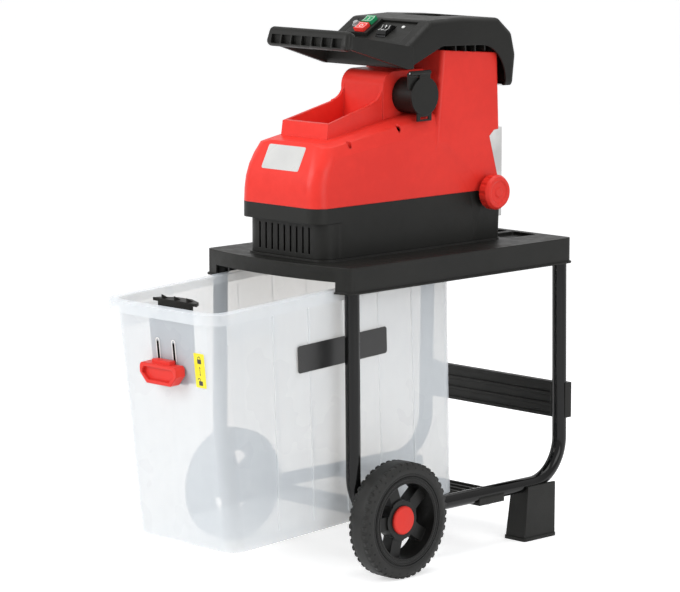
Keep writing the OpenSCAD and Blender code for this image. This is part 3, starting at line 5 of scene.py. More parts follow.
import bmesh
import bpy
from mathutils import Matrix, Vector
from mathutils.bvhtree import BVHTree


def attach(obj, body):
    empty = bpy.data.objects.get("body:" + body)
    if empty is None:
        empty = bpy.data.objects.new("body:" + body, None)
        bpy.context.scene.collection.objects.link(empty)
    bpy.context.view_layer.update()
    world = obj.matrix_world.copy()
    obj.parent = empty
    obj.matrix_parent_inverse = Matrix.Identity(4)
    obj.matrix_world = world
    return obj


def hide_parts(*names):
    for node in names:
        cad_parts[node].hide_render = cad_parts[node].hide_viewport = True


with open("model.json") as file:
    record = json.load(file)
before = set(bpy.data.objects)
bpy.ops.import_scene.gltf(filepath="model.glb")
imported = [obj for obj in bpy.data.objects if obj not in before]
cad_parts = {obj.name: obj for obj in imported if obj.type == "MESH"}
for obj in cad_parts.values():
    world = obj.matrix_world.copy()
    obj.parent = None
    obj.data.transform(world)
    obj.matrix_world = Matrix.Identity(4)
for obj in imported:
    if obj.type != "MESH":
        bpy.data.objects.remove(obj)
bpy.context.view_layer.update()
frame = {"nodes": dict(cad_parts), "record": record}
nodes = frame["nodes"]
body_of = {n: b for b, members in frame["record"]["behaviour"]["bodies"].items() for n in members}
slot_of = {p["node"]: p["material_slot"] for p in frame["record"]["subparts"]}
scene = bpy.context.scene

# Places: the stand's own millimetres, and the tilted bin, sloping panel and wheels on it

ROW_Y = 0.1306073                      # the table's middle, in the row frame


def at(x, y, z):
    """A point of the stand, given in millimetres."""
    return Vector((x / 1000, y / 1000 + ROW_Y, z / 1000))


def turned(degrees, axis):
    return Matrix.Rotation(math.radians(degrees), 4, axis)


def tilted(origin, degrees):
    """Millimetres on a surface that is turned about the X axis."""
    return Matrix.Translation(at(*origin)) @ turned(degrees, "X") @ Matrix.Scale(0.001, 4)


BIN_TILT = 3
BIN = tilted((0, -480.785, 72), BIN_TILT)
BIN_HALF = 120                         # half the bin's width at its bottom
FRONT_DRAFT, SIDE_DRAFT = 23 / 399, 6 / 399    # the bin's walls lean out by this much of their height
PANEL = tilted((0, -30, 887.5), 30.3)
AXLE = (178, -185, 97.5)               # inner face of the wheels, axle
WHEEL_WIDTH, WHEEL_RADIUS, LUGS = 46, 97.5, 46

# Camera: fitted to the table's corners, the legs, the wheel and the feet in the photograph

AZIMUTH, ELEVATION = math.radians(45.36), math.radians(8.71)
FOCAL_PIXELS, PHOTO_WIDTH = 3324.2, 680

camera_data = bpy.data.cameras.new("camera")
camera = bpy.data.objects.new("camera", camera_data)
scene.collection.objects.link(camera)
camera_data.sensor_width = 36
camera_data.lens = FOCAL_PIXELS / PHOTO_WIDTH * camera_data.sensor_width
camera_data.clip_end = 60
camera.location = at(3965.4, -4037.9, 1296.5)
towards = -Vector((math.sin(AZIMUTH) * math.cos(ELEVATION),
                   -math.cos(AZIMUTH) * math.cos(ELEVATION), math.sin(ELEVATION)))
camera.rotation_mode = "QUATERNION"
camera.rotation_quaternion = towards.to_track_quat("-Z", "Y")
scene.camera = camera


# Shader maths

class Val:
    """A node socket that can be used in Python sums; each sum adds its Math node."""

    def __init__(self, shading, socket):
        self.shading, self.socket = shading, socket

    def math(self, operation, other=0.0):
        return self.shading.add("ShaderNodeMath", {"operation": operation}, [self, other])

    def __add__(self, other): return self.math("ADD", other)
    def __sub__(self, other): return self.math("SUBTRACT", other)
    def __mul__(self, other): return self.math("MULTIPLY", other)
    def __truediv__(self, other): return self.math("DIVIDE", other)
    def __pow__(self, other): return self.math("POWER", other)
    def __mod__(self, other): return self.math("FLOORED_MODULO", other)
    def __lt__(self, other): return self.math("LESS_THAN", other)
    def __abs__(self): return self.math("ABSOLUTE")


class Shading:
    """A shader tree under construction, with one method that makes any node."""

    def __init__(self, tree, output):
        self.tree = tree
        tree.nodes.clear()
        self.output = tree.nodes.new(output)

    def add(self, kind, settings=None, inputs=None, out=0):
        """Makes a node with its settings and its inputs, by name or in order, and gives one of its outputs."""
        node = self.tree.nodes.new(kind)
        for key, value in (settings or {}).items():
            setattr(node, key, value)
        pairs = inputs.items() if isinstance(inputs, dict) else enumerate(inputs or [])
        for key, value in pairs:
            if isinstance(value, Val):
                self.tree.links.new(value.socket, node.inputs[key])
            else:
                node.inputs[key].default_value = value
        return Val(self, node.outputs[out])

    def mixed(self, share, a, b):
        return self.add("ShaderNodeMixShader", {}, [share, a, b], "Shader")

    def rays(self, kind):
        return self.add("ShaderNodeLightPath", out="Is " + kind + " Ray")

    def seen(self):
        """1 for the camera's rays, and for those that a gloss or a clear wall sends on."""
        return self.rays("Camera").math("MAXIMUM", self.rays("Glossy")).math("MAXIMUM", self.rays("Transmission"))

    def show(self, shader):
        self.tree.links.new(shader.socket, self.output.inputs["Surface"])


class Finish(Shading):
    """A material under construction; its patterns lie in Object coordinates, in metres."""

    def __init__(self, name):
        self.material = bpy.data.materials.new(name)
        self.material.use_nodes = True
        super().__init__(self.material.node_tree, "ShaderNodeOutputMaterial")
        self.coords = self.add("ShaderNodeTexCoord", out="Object")

    def noise(self, scale, detail=3.0, roughness=0.55, coords=None):
        return self.add("ShaderNodeTexNoise", {}, {
            "Vector": coords or self.coords, "Scale": scale, "Detail": detail, "Roughness": roughness}, "Fac")

    def stretched(self, scale):
        return self.add("ShaderNodeMapping", {}, {"Vector": self.coords, "Scale": scale}, "Vector")

    def axis(self, name):
        return self.add("ShaderNodeSeparateXYZ", {}, [self.coords], name)

    def ramp(self, value, low, high, a=0.0, b=1.0):
        return self.add("ShaderNodeMapRange", {"interpolation_type": "SMOOTHSTEP"}, {
            "Value": value, "From Min": low, "From Max": high, "To Min": a, "To Max": b}, "Result")

    def spread(self, pattern, a=0.0, b=1.0):
        """The middle part of a noise pattern, spread from one value to another."""
        return self.ramp(pattern, 0.3, 0.7, a, b)

    def tint(self, mask, a, b):
        a = a if isinstance(a, Val) else (*a, 1)
        return self.add("ShaderNodeMix", {"data_type": "RGBA"}, {0: mask, 6: a, 7: (*b, 1)}, 2)

    def bump(self, height, strength, distance, normal=None):
        inputs = {"Height": height, "Strength": strength, "Distance": distance}
        if normal:
            inputs["Normal"] = normal
        return self.add("ShaderNodeBump", {}, inputs, "Normal")

    def edge(self, radius):
        return self.add("ShaderNodeBevel", {"samples": 6}, {"Radius": radius}, "Normal")

    def clear(self, *colour):
        return self.add("ShaderNodeBsdfTransparent", {}, {"Color": (*colour, 1)}, "BSDF")

    def principled(self, **inputs):
        """A Principled shader; an underscore stands for the space in an input's name."""
        named = {key.replace("_", " "): value for key, value in inputs.items()}
        return self.add("ShaderNodeBsdfPrincipled", {}, named, "BSDF")

    def surface(self, **inputs):
        self.show(self.principled(**inputs))
        return self.material


def moulded(name, colour, dark, roughness, grain=0.25, grain_scale=1500, edge=0.0012, coat=0.0):
    """Moulded plastic: fine spark-eroded grain, faint cloudy tone, softly broken edges."""
    f = Finish(name)
    cloud = f.noise(7, 4)
    fine = f.noise(grain_scale, 2, 0.6)
    flow = f.noise(60, 3)
    tone = f.ramp(cloud * 0.7 + flow * 0.3, 0.35, 0.65)
    return f.surface(Base_Color=f.tint(tone, dark, colour), Coat_Weight=coat, Specular_IOR_Level=0.22,
                     Roughness=f.spread(flow, roughness - 0.05, roughness + 0.06),
                     Normal=f.bump(fine, grain, 0.0004, f.edge(edge)))


def metal(name, colour, roughness, streak, stretch):
    """Bare metal with a directional grind or a cast skin."""
    f = Finish(name)
    grind = f.noise(streak, 4, 0.6, f.stretched(stretch))
    stain = f.noise(14, 3)
    dull = tuple(c * 0.72 for c in colour)
    return f.surface(Base_Color=f.tint(f.ramp(stain, 0.35, 0.7), dull, colour), Metallic=1.0,
                     Roughness=f.spread(grind, roughness - 0.08, roughness + 0.1),
                     Normal=f.bump(grind, 0.12, 0.0003, f.edge(0.0006)))


def coated_tube():
    """Powder coat on tube: deep gloss black with a faint orange peel."""
    f = Finish("tube_paint")
    peel = f.noise(420, 2)
    haze = f.noise(25, 3)
    return f.surface(Base_Color=f.tint(haze, (0.002, 0.002, 0.002), (0.005, 0.005, 0.005)), Specular_IOR_Level=0.26,
                     Roughness=f.spread(haze, 0.08, 0.14), Normal=f.bump(peel, 0.05, 0.0004))


def milky():
    """Translucent polypropylene of the bin: a bluish veil that is thicker edge on, over a clear part that warms what
    is behind it; most light from the lamps goes through."""
    f = Finish("bin_plastic")
    cloud = f.noise(6, 3)
    streak = f.noise(30, 3, 0.5, f.stretched((1, 1, 0.12)))
    fine = f.noise(900, 2)
    edge_on = f.add("ShaderNodeLayerWeight", {}, {"Blend": 0.3}, "Facing")
    veil = f.spread(cloud * 0.7 + streak * 0.3, 0.31, 0.34) + edge_on * 0.3
    milk = f.principled(Base_Color=f.tint(f.spread(cloud), (0.79, 0.85, 0.91), (0.81, 0.865, 0.92)),
                        Specular_IOR_Level=0.3, Roughness=f.spread(cloud, 0.25, 0.34),
                        Normal=f.bump(fine, 0.04, 0.0003))
    wall = f.mixed(veil, f.clear(1.0, 0.975, 0.945), milk)
    f.show(f.mixed(f.rays("Shadow") * 0.75, wall, f.clear(1, 1, 1)))
    return f.material


def tyre_rubber():
    """Solid tyre: matt, with a row of small vent pits near the edge of the side wall, bumped in and painted darker as
    their shade, and faint mould rings.
    """
    f = Finish("tyre")
    pits, pit_radius, pit_half, pit_share = 30, 0.0885, 0.0016, 0.11
    y, z = f.axis("Y") - (AXLE[1] / 1000 + ROW_Y), f.axis("Z") - AXLE[2] / 1000
    radius = (y * y + z * z) ** 0.5
    turn = z.math("ARCTAN2", y) / (2 * math.pi)
    slot = (turn * pits) % 1.0
    pit_and_painted_shade = (abs(radius - pit_radius) < pit_half) * (abs(slot - 0.5) < pit_share)
    ring = f.ramp(abs((radius * 400) % 1.0 - 0.5), 0.3, 0.5)
    dust = f.noise(90, 4)
    fine = f.noise(1000, 2)
    tone = f.tint(f.ramp(dust, 0.35, 0.7), (0.013, 0.013, 0.012), (0.022, 0.022, 0.021))
    height = fine * 0.3 + ring * 0.2 - pit_and_painted_shade * 2.0
    # Inside the pits the rubber is painted near-black: painted shade in dents that are only bumps, not a darker rubber.
    return f.surface(Base_Color=f.tint(pit_and_painted_shade, tone, (0.003, 0.003, 0.003)), Specular_IOR_Level=0.3,
                     Roughness=f.spread(dust, 0.5, 0.62), Normal=f.bump(height, 0.4, 0.0006, f.edge(0.0008)))


def printed(name, colour, second, roughness):
    """Film label: even print with a fine dot screen and a slight change of tone."""
    f = Finish(name)
    screen = f.noise(2500, 1)
    cloud = f.noise(18, 2)
    return f.surface(Base_Color=f.tint(f.ramp(screen * 0.4 + cloud * 0.6, 0.35, 0.65), colour, second),
                     Roughness=f.spread(cloud, roughness - 0.04, roughness + 0.05),
                     Normal=f.bump(screen, 0.03, 0.0002))


RED, DEEP_RED = (0.80, 0.040, 0.028), (0.74, 0.034, 0.024)
BLACK, DEEP_BLACK = (0.012, 0.012, 0.0105), (0.0085, 0.0085, 0.0075)
finishes = {
    "red_plastic": moulded("red_plastic", RED, DEEP_RED, 0.34, 0.12, edge=0.003),
    "black_plastic": moulded("black_plastic", BLACK, DEEP_BLACK, 0.44, 0.3, 1100, edge=0.002),
    "wheel_plastic": moulded("wheel_plastic", (0.010, 0.010, 0.0095), (0.007, 0.007, 0.0065), 0.36, 0.15),
    "tyre": tyre_rubber(),
    "green_plastic": moulded("green_plastic", (0.02, 0.30, 0.12), (0.015, 0.24, 0.09), 0.3, 0.05),
    "grey_plastic": moulded("grey_plastic", (0.42, 0.42, 0.42), (0.36, 0.36, 0.36), 0.4, 0.1),
    "tube_paint": coated_tube(),
    "bin_plastic": milky(),
    "steel": metal("steel", (0.62, 0.62, 0.64), 0.32, 260, (1, 0.08, 1)),
    "alloy": metal("alloy", (0.72, 0.72, 0.71), 0.42, 500, (1, 1, 1)),
    "copper": metal("copper", (0.72, 0.38, 0.2), 0.35, 300, (1, 0.1, 1)),
}
gloss_black = moulded("gloss_black", (0.008, 0.008, 0.008), (0.006, 0.006, 0.006), 0.14, 0.03, coat=0.3)
white_print = printed("white_print", (0.78, 0.78, 0.76), (0.70, 0.70, 0.68), 0.4)
dark_print = printed("dark_print", (0.02, 0.02, 0.02), (0.03, 0.03, 0.03), 0.35)
yellow_film = printed("yellow_film", (0.90, 0.80, 0.02), (0.86, 0.74, 0.015), 0.35)
black_film = printed("black_film", (0.012, 0.012, 0.012), (0.018, 0.018, 0.018), 0.3)
silver_film = printed("silver_film", (0.62, 0.62, 0.60), (0.54, 0.54, 0.53), 0.3)


def dress(obj, *materials):
    if obj.data.materials:
        obj.data.materials.clear()
    for material in materials:
        obj.data.materials.append(material)


for name, obj in nodes.items():
    dress(obj, gloss_black if name == "direction_rocker" else finishes[slot_of[name]])


# Making pieces

MERGE = 2e-6                           # points closer than this are one, in metres


def to_mesh(bm, name, smooth):
    """The plain mesh, its normals outward, shaded round where faces meet below an angle."""
    bmesh.ops.remove_doubles(bm, verts=bm.verts, dist=MERGE)
    bmesh.ops.recalc_face_normals(bm, faces=bm.faces)
    for face in bm.faces:
        face.smooth = True
    mesh = bpy.data.meshes.new(name)
    bm.to_mesh(mesh)
    bm.free()
    mesh.set_sharp_from_angle(angle=math.radians(smooth))
    return mesh


def piece(name, shape, body, slot, *materials, smooth=30, replaces=()):
    """An object at the origin that rides on a body, in a slot's finish unless it has its own."""
    mesh = shape if isinstance(shape, bpy.types.Mesh) else to_mesh(shape, name, smooth)
    obj = bpy.data.objects.new(name, mesh)
    scene.collection.objects.link(obj)
    dress(obj, *(materials or [finishes[slot]]))
    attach(obj, body)
    if replaces:
        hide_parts(*replaces)


def made_plain(host):
    """The plain mesh of a helper object with its modifier applied; the helper goes."""
    mesh = bpy.data.meshes.new_from_object(host.evaluated_get(bpy.context.evaluated_depsgraph_get()))
    bpy.data.objects.remove(host)
    return mesh


def copied(node):
    """The node's own shape, its triangles joined."""
    bm = bmesh.new()
    bm.from_mesh(nodes[node].data)
    bmesh.ops.remove_doubles(bm, verts=bm.verts, dist=MERGE)
    return bm


def even_shading(mesh, name):
    """Large faces keep their flat look, and the small ones between them take up the turn."""
    host = bpy.data.objects.new(name + "_host", mesh)
    scene.collection.objects.link(host)
    even = host.modifiers.new("even", "WEIGHTED_NORMAL")
    even.mode, even.weight, even.keep_sharp = "FACE_AREA", 50, True
    done = made_plain(host)
    done.name = name
    bpy.data.meshes.remove(mesh)
    return done


def smooth_copy(node, angle=32, soften=None, crease=None):
    """The node's own shape, its flat parts made whole again and shaded round below the given angle. Soften picks edges
    to be rounded, with a radius and a number of steps; crease picks edges that stay sharp."""
    bm = copied(node)
    bmesh.ops.dissolve_limit(bm, angle_limit=math.radians(0.4), verts=bm.verts, edges=bm.edges)
    if soften:
        pick, radius, steps = soften
        edges = [e for e in bm.edges if len(e.link_faces) == 2 and pick(e)]
        bmesh.ops.bevel(bm, geom=edges, offset=radius, offset_type="OFFSET", segments=steps,
                        profile=0.5, affect="EDGES", clamp_overlap=True)
    for face in bm.faces:
        face.smooth = True
    for edge in bm.edges:
        turn = edge.calc_face_angle(math.pi)
        edge.smooth = turn < math.radians(angle) and not (crease and crease(edge, turn))
    mesh = bpy.data.meshes.new(node + "_host")
    bm.to_mesh(mesh)
    bm.free()
    piece(node + "_shell", even_shading(mesh, node + "_shell"), body_of[node], slot_of[node], replaces=[node])


def prism(bm, outline, place, low, high, material=0):
    """A flat outline in millimetres, given a thickness along the place's Z axis."""
    rings = [[bm.verts.new(place @ Vector((x, y, z))) for x, y in outline] for z in (low, high)]
    faces = [bm.faces.new(rings[0][::-1]), bm.faces.new(rings[1])]
    n = len(outline)
    faces += [bm.faces.new((rings[0][i], rings[0][(i + 1) % n], rings[1][(i + 1) % n], rings[1][i])) for i in range(n)]
    for face in faces:
        face.material_index = material


def band(bm, outer, inner, place, low, high):
    """A flat ring between two outlines of equal length, with a thickness."""
    n = len(outer)
    ol, oh, il, ih = ([bm.verts.new(place @ Vector((x, y, z))) for x, y in line]
                      for line in (outer, inner) for z in (low, high))
    for i in range(n):
        j = (i + 1) % n
        for quad in ((ol[i], ol[j], oh[j], oh[i]), (oh[i], oh[j], ih[j], ih[i]),
                     (ih[i], ih[j], il[j], il[i]), (il[i], il[j], ol[j], ol[i])):
            bm.faces.new(quad)


def polar(r, angle):
    return r * math.cos(angle), r * math.sin(angle)


def arc(cx, cy, r, start, end, steps):
    spokes = (polar(r, math.radians(start + (end - start) * i / steps)) for i in range(steps + 1))
    return [(cx + x, cy + y) for x, y in spokes]


def box(x0, x1, y0, y1):
    return [(x0, y0), (x1, y0), (x1, y1), (x0, y1)]


def rounded(w, h, r, cx=0.0, cy=0.0, steps=5):
    """Rectangle with round corners."""
    return [p for sx, sy, a in ((1, 1, 0), (-1, 1, 90), (-1, -1, 180), (1, -1, 270))
            for p in arc(cx + sx * (w / 2 - r), cy + sy * (h / 2 - r), r, a, a + 90, steps)]


def lathe(bm, profile, place, steps):
    """A closed outline of radius and height, turned about the place's Z axis."""
    rings = [[bm.verts.new(place @ Vector((*polar(r, 2 * math.pi * k / steps), h))) for k in range(steps)]
             for r, h in profile]
    for a, b in zip(rings, rings[1:] + rings[:1]):
        for k in range(steps):
            j = (k + 1) % steps
            corners = [a[k], a[j], b[j], b[k]]
            if len({tuple(round(c, 7) for c in v.co) for v in corners}) > 2:
                bm.faces.new(corners)


def surface_of(node):
    bm = copied(node)
    tree = BVHTree.FromBMesh(bm)
    bm.free()
    return tree


def label(bm, carrier, corners, along, cells, corner_r, lift):
    """A film laid on a curved surface: a net of points between four corners, dropped onto it along a direction."""
    ahead, reach, sunk = 0.03, 0.08, 0.0002    # where the drop starts, how far it goes, depth below the surface
    columns, rows = cells
    a, b, c, d = (Vector(p) for p in corners)
    width, height = (b - a).length, (d - a).length
    net = {}
    for i in range(columns + 1):
        for j in range(rows + 1):
            u, v = i / columns, j / rows
            x, y = min(u, 1 - u) * width, min(v, 1 - v) * height
            if x < corner_r and y < corner_r:
                gap = Vector((corner_r - x, corner_r - y))
                if gap.length > corner_r:
                    gap *= corner_r / gap.length
                x, y = corner_r - gap.x, corner_r - gap.y
            u, v = (x if u <= 0.5 else width - x) / width, (y if v <= 0.5 else height - y) / height
            point = a.lerp(b, u).lerp(d.lerp(c, u), v)
            spot = carrier.ray_cast(point - along * ahead, along, reach)[0]
            net[i, j] = bm.verts.new((spot or point) - along * lift)
    made = [bm.faces.new((net[i, j], net[i + 1, j], net[i + 1, j + 1], net[i, j + 1]))
            for i in range(columns) for j in range(rows)]
    rim = bmesh.ops.extrude_face_region(bm, geom=made)
    moved = [v for v in rim["geom"] if isinstance(v, bmesh.types.BMVert)]
    bmesh.ops.translate(bm, verts=moved, vec=along * (lift + sunk))


# Repeated shapes, grown by Geometry Nodes

class Grower:
    """A Geometry Nodes tree under construction, with named inputs."""

    def __init__(self, name, **inputs):
        self.tree = bpy.data.node_groups.new(name, "GeometryNodeTree")
        self.tree.interface.new_socket("Geometry", in_out="OUTPUT", socket_type="NodeSocketGeometry")
        for key, kind in inputs.items():
            self.tree.interface.new_socket(key, in_out="INPUT", socket_type="NodeSocket" + kind)
        self.given = self.tree.nodes.new("NodeGroupInput").outputs
        self.result = self.tree.nodes.new("NodeGroupOutput").inputs

    def add(self, kind, settings=None, out=0, **inputs):
        """Makes a node; an input is named, or numbered after an underscore."""
        node = self.tree.nodes.new(kind)
        for key, value in (settings or {}).items():
            setattr(node, key, value)
        for key, value in inputs.items():
            socket = node.inputs[int(key[1:])] if key[0] == "_" else node.inputs[key]
            if isinstance(value, bpy.types.NodeSocket):
                self.tree.links.new(value, socket)
            else:
                socket.default_value = value
        return node.outputs[out]

    def math(self, operation, a, b=0.0):
        return self.add("ShaderNodeMath", {"operation": operation}, _0=a, _1=b)

    def points(self, place):
        """As many points as given, at the places that are worked out from their numbers."""
        points = self.add("GeometryNodePoints", Count=self.given["Count"])
        return self.add("GeometryNodeSetPosition", Geometry=points, Position=place)

    def sum(self, a, b):
        return self.add("ShaderNodeVectorMath", {"operation": "ADD"}, _0=a, _1=b)

    def block(self):
        """A bar of the given size whose top face is drawn in."""
        bar = self.add("GeometryNodeMeshCube", Size=self.given["Size"])
        normal = self.add("GeometryNodeInputNormal")
        up = self.add("ShaderNodeSeparateXYZ", None, "Z", Vector=normal)
        top = self.math("GREATER_THAN", up, 0.5)
        return self.add("GeometryNodeScaleElements", Geometry=bar, Selection=top, Scale=self.given["Taper"])

    def finish(self, points, euler):
        """Sets a block on each point, makes it real and paints it."""
        rotation = self.add("FunctionNodeEulerToRotation", Euler=euler)
        placed = self.add("GeometryNodeInstanceOnPoints", Points=points, Instance=self.block(), Rotation=rotation)
        real = self.add("GeometryNodeRealizeInstances", Geometry=placed)
        painted = self.add("GeometryNodeSetMaterial", Geometry=real, Material=self.given["Finish"])
        self.tree.links.new(painted, self.result[0])
        return self.tree


def ring_tree():
    """Blocks round an axle along X, each turned to face outwards."""
    g = Grower("ring_of_blocks", Count="Int", Radius="Float", Size="Vector", Taper="Float", Centre="Vector",
               Finish="Material")
    index = g.add("GeometryNodeInputIndex")
    angle = g.math("DIVIDE", g.math("MULTIPLY", index, 2 * math.pi), g.given["Count"])
    y = g.math("MULTIPLY", g.math("COSINE", angle), g.given["Radius"])
    z = g.math("MULTIPLY", g.math("SINE", angle), g.given["Radius"])
    spoke = g.add("ShaderNodeCombineXYZ", Y=y, Z=z)
    lean = g.add("ShaderNodeCombineXYZ", X=g.math("SUBTRACT", angle, math.pi / 2))
    return g.finish(g.points(g.sum(spoke, g.given["Centre"])), lean)


def row_tree():
    """Blocks in a straight row, all turned the same way."""
    g = Grower("row_of_blocks", Count="Int", Start="Vector", Step="Vector", Size="Vector", Taper="Float", Turn="Vector",
               Finish="Material")
    index = g.add("GeometryNodeInputIndex")
    reach = g.add("ShaderNodeVectorMath", {"operation": "SCALE"}, Vector=g.given["Step"], Scale=index)
    return g.finish(g.points(g.sum(reach, g.given["Start"])), g.given["Turn"])


RING, ROW = ring_tree(), row_tree()


def grown(bm, tree, **values):
    """Runs a tree and adds its plain mesh to a piece in the making."""
    host = bpy.data.objects.new("host", bpy.data.meshes.new("host"))
    scene.collection.objects.link(host)
    modifier = host.modifiers.new("grow", "NODES")
    modifier.node_group = tree
    for item in tree.interface.items_tree:
        if item.in_out == "INPUT":
            modifier[item.identifier] = values[item.name]
    mesh = made_plain(host)
    bm.from_mesh(mesh)
    bpy.data.meshes.remove(mesh)


# Mouldings with evenly shaded faces, and a rounded edge on the table

TABLE_TOP, TABLE_HALF, TABLE_FRONT, TABLE_REAR = 0.522, 0.171, ROW_Y - 0.268, ROW_Y + 0.273


def table_edge(edge):
    """Outline of the table's top; its recesses keep their edges."""
    outer = all(abs(v.co.x) > TABLE_HALF or not TABLE_FRONT <= v.co.y <= TABLE_REAR for v in edge.verts)
    return outer and all(abs(v.co.z - TABLE_TOP) < 1e-5 for v in edge.verts) and edge.calc_face_angle(0) >= 0.6


def blend_edge(edge, turn):
    """Both borders of the round strip that leads from the housing's side to the tower's."""
    flat = all(abs(face.normal.x) > 0.97 for face in edge.link_faces)
    near = all(0.168 < math.hypot(v.co.y - ROW_Y + 0.073, v.co.z - 0.552) < 0.215 for v in edge.verts)
    return flat and near and turn > math.radians(2)


smooth_copy("stand_table", 40, soften=(table_edge, 0.006, 4))
smooth_copy("upper_cover", crease=blend_edge)
smooth_copy("base_housing", crease=blend_edge)
smooth_copy("hood")
smooth_copy("bin_tub")


# Wheels: tyre with shoulder blocks, and raised rings on the rim

def wheel(side, name):
    def centre(across):
        return at(side * (AXLE[0] + across), AXLE[1], AXLE[2])

    place = Matrix.Translation(centre(0)) @ turned(90 * side, "Y") @ Matrix.Scale(0.001, 4)
    inner, outer, width = 79.6, WHEEL_RADIUS, WHEEL_WIDTH
    half = [(inner, 1), (inner + 4, 0), (outer - 10, 0.8), (outer - 6, 2.2), (outer - 3.2, 5), (outer - 1.6, 9),
            (outer - 0.3, 11.5), (outer, 15)]
    bm = bmesh.new()
    lathe(bm, half + [(r, width - h) for r, h in reversed(half)], place, 120)
    for across in (7.4, width - 7.4):
        grown(bm, RING, Count=LUGS, Radius=(outer - 2.5) / 1000, Size=(0.0086, 0.0096, 0.0044), Taper=0.62,
              Centre=centre(across), Finish=finishes["tyre"])
    piece(name + "_tread", bm, name, "tyre", smooth=28, replaces=[name.replace("wheel", "tyre")])
    bm = bmesh.new()
    bead = ((-0.9, 1.3), (-0.5, 0.45), (0, 0.2), (0.5, 0.45), (0.9, 1.3))
    for r in (66.2, 71.5):
        lathe(bm, [(r + out, width - down) for out, down in bead], place, 96)
    piece(name + "_rings", bm, name, "wheel_plastic")


wheel(-1, "left_wheel")
wheel(1, "right_wheel")


# Bin: borders of the latch slots and black liners in them that paint their shade, webs under the rim, moulded pads and
# two labels

SLOT_HEIGHT, SLOTS = 318, (-19, 19)
FILM, INK = (0.02, 0.2), (0.2, 0.26)   # thickness of a film, and of the marks on it


def on_front(z):
    """Place on the bin's front wall at a height, its Z axis pointing out of the wall."""
    lean = math.degrees(math.atan(FRONT_DRAFT))
    return BIN @ Matrix.Translation((0, -FRONT_DRAFT * z, z)) @ turned(90 + lean, "X")


def on_side(side, y, z):
    """Place on a side wall of the bin, its Z axis pointing out of the wall."""
    lean = math.degrees(math.atan(SIDE_DRAFT))
    return (BIN @ Matrix.Translation((side * (BIN_HALF + SIDE_DRAFT * z), y, z)) @ turned(side * lean, "Y")
            @ turned(90 * side, "Z") @ turned(90, "X"))


def slot_trim():
    place = on_front(SLOT_HEIGHT)

    def border(x, r):
        return [(x + r, -24)] + arc(x, 23, r, 0, 180, 8) + [(x - r, -24)]

    bm = bmesh.new()
    for x in SLOTS:
        band(bm, border(x, 4.6), border(x, 2.7), place, 0.02, 0.35)
    piece("slot_borders", bm, "bin", "bin_plastic", white_print)

    # Thin black skins on the slots' side walls: painted shade that makes the slots read dark, where the bin's own
    # plastic is milky.
    bm = bmesh.new()
    inner, outer, top = 2.05, 2.48, 19.5
    deep, proud = -2.9, 0.1
    for x in SLOTS:
        for s in (-1, 1):
            prism(bm, box(x + s * inner, x + s * outer, -23, top), place, deep, proud)
        prism(bm, arc(x, top, outer, 0, 180, 10) + arc(x, top, inner, 180, 0, 10), place, deep, proud)
    piece("slot_painted_shade_liners", bm, "bin", "black_plastic")


def bin_details():
    bm = bmesh.new()

    def webs(x, y, step, size):
        grown(bm, ROW, Count=2, Start=BIN @ Vector((x, y, 388.6)), Step=BIN.to_3x3() @ Vector(step), Size=size,
              Taper=0.98, Turn=(math.radians(BIN_TILT), 0, 0), Finish=finishes["bin_plastic"])

    for y in (25, 330):
        for side in (-1, 1):
            webs(side * 132.6, y, (0, 87, 0), (0.0110, 0.0018, 0.0148))
    webs(-52, -29.6, (104, 0, 0), (0.0018, 0.0112, 0.0148))
    piece("rim_webs", bm, "bin", "bin_plastic")

    bm = bmesh.new()
    for side in (-1, 1):
        prism(bm, rounded(112, 34, 3), on_side(side, 56, 363), 0.02, 0.5)
    piece("side_pads", bm, "bin", "bin_plastic")

    bm = bmesh.new()
    prism(bm, rounded(206, 45.5, 5), on_side(1, 255.5, 295), 2.85, 3.15)
    piece("side_film", bm, "bin", "black_plastic", black_film)


def lock_label():
    """Film beside the latch: shut and open padlock signs with a double arrow between them."""
    bm = bmesh.new()
    place = on_front(301.5) @ Matrix.Translation((78, 0, 0))
    prism(bm, rounded(24.5, 57, 2), place, *FILM)

    def mark(outline):
        prism(bm, outline, place, *INK, 1)

    def padlock(cy, shift, start, stems):
        """Body, and a bow that may be swung aside and stand on one stem."""
        mark(rounded(9, 7.5, 0.8, 0, cy, 2))
        mark(arc(shift, cy + 5.2, 3.4, start, 180, 10) + arc(shift, cy + 5.2, 2.1, 180, start, 10))
        for x in stems:
            mark(box(x - 0.65, x + 0.65, cy + 3.5, cy + 5.4))

    padlock(15, 0, 0, (-2.75, 2.75))
    padlock(-21, -3.2, 20, (-0.45,))
    mark(box(-0.5, 0.5, -6, 4))
    mark([(-1.6, 4), (1.6, 4), (0, 7)])
    mark([(0, -9), (1.6, -6), (-1.6, -6)])
    piece("lock_label", bm, "bin", "grey_plastic", yellow_film, dark_print)


def latch_apron():
    """Thin sheet on the latch's two stems, close behind the bin's front wall."""
    bm = bmesh.new()
    place = on_front(327)
    prism(bm, rounded(82, 112, 2), place, -6.4, -5.2)
    for x in (-30, 30):
        prism(bm, rounded(4, 100, 1.5, x, 0), place, -8.4, -6.4)
    piece("latch_apron", bm, "latch", "black_plastic")


slot_trim()
bin_details()
lock_label()
latch_apron()


# Control panel: frames and signs of the push caps, reset collar, rocker signs, lamp

DISH_CENTRE, DISH_RADIUS = 43.0, 31.2  # hollow of the push caps, from the panel
CAP_X, START_Y, STOP_Y = -32, 16.5, -4.5
RESET, ROCKER, LAMP = (-55, 6, 6), (17, 0, -6), (45, 16, -0.5)
CAP_PRINT = (0.02, 0.22)


def on_panel(x, y, z):
    return PANEL @ Matrix.Translation((x, y, z))


def fine_frame(w, h, steps=8):
    """Rectangle with points along its sides, so that it can follow a hollow."""
    corners = box(-w / 2, w / 2, -h / 2, h / 2)
    return [(a[0] + (b[0] - a[0]) * k / steps, a[1] + (b[1] - a[1]) * k / steps)
            for a, b in zip(corners, corners[1:] + corners[:1]) for k in range(steps)]


